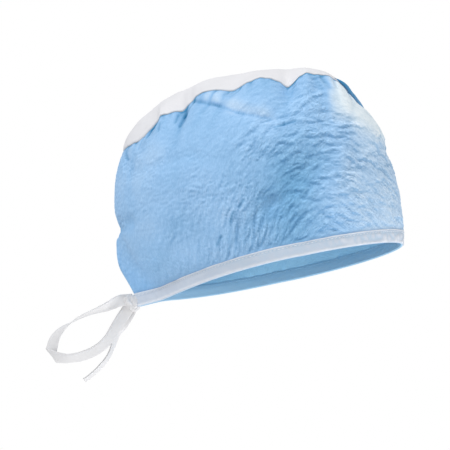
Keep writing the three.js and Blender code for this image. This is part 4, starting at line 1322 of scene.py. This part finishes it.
class CAP_OT_stage(bpy.types.Operator):
    """Set the camera, the floor and the soft lights"""

    bl_idname = "cap.stage"
    bl_label = "Stage"

    def execute(self, context):
        bpy.ops.object.select_all(action="DESELECT")
        bpy.ops.object.camera_add(
            location=CAMERA_PLACE, rotation=(math.radians(CAMERA_TILT), 0, 0))
        camera = context.object
        camera.name = "camera"
        camera.data.lens = CAMERA_LENS
        camera.data.sensor_width = 36
        camera.data.clip_start = 0.05
        context.scene.camera = camera

        bpy.ops.mesh.primitive_plane_add(size=8, location=(0, 0, FLOOR_HEIGHT))
        floor = context.object
        floor.name = "studio_floor"
        material, tree, shader, place = new_material("floor", 0.9, 0.0)
        white = context.scene.cap_colours.floor_white
        tint = mixed(tree, noise_texture(tree, place, 3, 2), shaded(white, 0.98), white)
        feed(tree, shader, {"Base Color": tint})
        floor.data.materials.append(material)

        for light in LIGHTS:
            self.soft_light(*light)

        world = bpy.data.worlds.new("studio")
        context.scene.world = world
        world.use_nodes = True
        tree = world.node_tree
        lit = tree.nodes["Background"]
        feed(tree, lit, {"Color": SKY_COLOUR, "Strength": SKY_STRENGTH})
        seen = tree.nodes.new("ShaderNodeBackground")
        feed(tree, seen, {"Color": (1, 1, 1), "Strength": 1.0})
        path = tree.nodes.new("ShaderNodeLightPath")
        mix = tree.nodes.new("ShaderNodeMixShader")
        feed(tree, mix, {"Fac": path.outputs["Is Camera Ray"], 1: lit.outputs["Background"],
                         2: seen.outputs["Background"]})
        feed(tree, tree.nodes["World Output"], {"Surface": mix.outputs["Shader"]})
        context.scene.view_settings.view_transform = "Standard"
        return {"FINISHED"}

    def soft_light(self, name, place, power, size, colour):
        """A square area light that shines at the cap."""
        turn = (Vector(LIGHTS_AIM) - Vector(place)).to_track_quat("-Z", "Y")
        bpy.ops.object.light_add(type="AREA", location=place, rotation=turn.to_euler())
        light = bpy.context.object
        light.name = name
        light.data.energy = power
        light.data.size = size
        light.data.color = colour


class CAP_OT_ties(bpy.types.Operator):
    """Make the tape loop and the loose tail, with their stitches"""

    bl_idname = "cap.ties"
    bl_label = "Tape loop and tail"

    def execute(self, context):
        sizes, colours = context.scene.cap_sizes, context.scene.cap_colours
        white = tuple(colours.tie_white)
        material = nonwoven_material("tie_tape", white, 0.15, shaded(white, 0.75), 700)
        thread = thread_material(colours)
        for name, route, node, far_end, seed in (
            ("white_tie_loop", LOOP_ROUTE, "tie_loop", "object", 71),
            ("white_tie_tail", TAIL_ROUTE, "tie_tail", "bare", 75),
        ):
            tape, stitches, middle, length = tape_along(name, route, sizes, seed)
            finish(tape, "tie_tape", material, node)
            finish(stitches, "tie_tape", thread)
        return {"FINISHED"}


class CAP_OT_knot(bpy.types.Operator):
    """Make the knot that draws the binding's ends together"""

    bl_idname = "cap.knot"
    bl_label = "Knot"

    def execute(self, context):
        white = tuple(context.scene.cap_colours.tie_white)
        # The darker colour is painted shade of the knot's folds.
        material = nonwoven_material("knot_tape", white, 0.15, shaded(white, 0.7), 700)
        finish(make_knot(), "tie_tape", material, "tie_knot")
        return {"FINISHED"}


class CAP_OT_side_panel(bpy.types.Operator):
    """Make the crepe side panel, with the binding over its edge and the binding's stitches"""

    bl_idname = "cap.side_panel"
    bl_label = "Side panel and binding"

    def execute(self, context):
        sizes, colours = context.scene.cap_sizes, context.scene.cap_colours
        panel, form = make_side_panel(sizes)
        finish(panel, "blue_crepe", crepe_material(colours), "side_panel")
        white = tuple(colours.binding_white)
        tape = nonwoven_material("binding_tape", white, 0.10, BINDING_BLUE_AND_SHADE, 700)
        binding = finish(make_binding(sizes, form), "binding_tape", tape, "brim_binding")
        stitches = finish(binding_stitches(sizes, form), "binding_tape", thread_material(colours))
        return {"FINISHED"}


class CAP_OT_crown_panel(bpy.types.Operator):
    """Make the smooth crown panel"""

    bl_idname = "cap.crown_panel"
    bl_label = "Crown panel"

    def execute(self, context):
        sizes, colours = context.scene.cap_sizes, context.scene.cap_colours
        white = tuple(colours.crown_white)
        # The darker colour is painted shade.
        material = nonwoven_material("white_nonwoven", white, 0.15, shaded(white, 0.6), 520)
        crown = finish(make_crown_panel(sizes), "white_nonwoven", material, "crown_panel")
        return {"FINISHED"}


class CAP_PT_panel(bpy.types.Panel):
    """Lists the cap's pieces and settings"""

    bl_label = "Surgical Cap"
    bl_idname = "CAP_PT_panel"
    bl_space_type = "VIEW_3D"
    bl_region_type = "UI"
    bl_category = "Surgical Cap"

    def draw(self, context):
        for operator in OPERATORS:
            self.layout.operator(operator.bl_idname)
        for group in (context.scene.cap_sizes, context.scene.cap_colours):
            for key in group.__annotations__:
                self.layout.prop(group, key)


OPERATORS = (CAP_OT_stage, CAP_OT_ties, CAP_OT_knot, CAP_OT_side_panel, CAP_OT_crown_panel)
CLASSES = (CapSizes, CapColours, *OPERATORS, CAP_PT_panel)


def register():
    for cls in CLASSES:
        bpy.utils.register_class(cls)
    bpy.types.Scene.cap_sizes = bpy.props.PointerProperty(type=CapSizes)
    bpy.types.Scene.cap_colours = bpy.props.PointerProperty(type=CapColours)


def unregister():
    del bpy.types.Scene.cap_colours
    del bpy.types.Scene.cap_sizes
    for cls in reversed(CLASSES):
        bpy.utils.unregister_class(cls)


def main():
    """Makes the whole cap on its stage."""
    register()
    bpy.ops.cap.stage()
    bpy.ops.cap.ties()
    bpy.ops.cap.knot()
    bpy.ops.cap.side_panel()
    bpy.ops.cap.crown_panel()


if __name__ == "__main__":
    main()
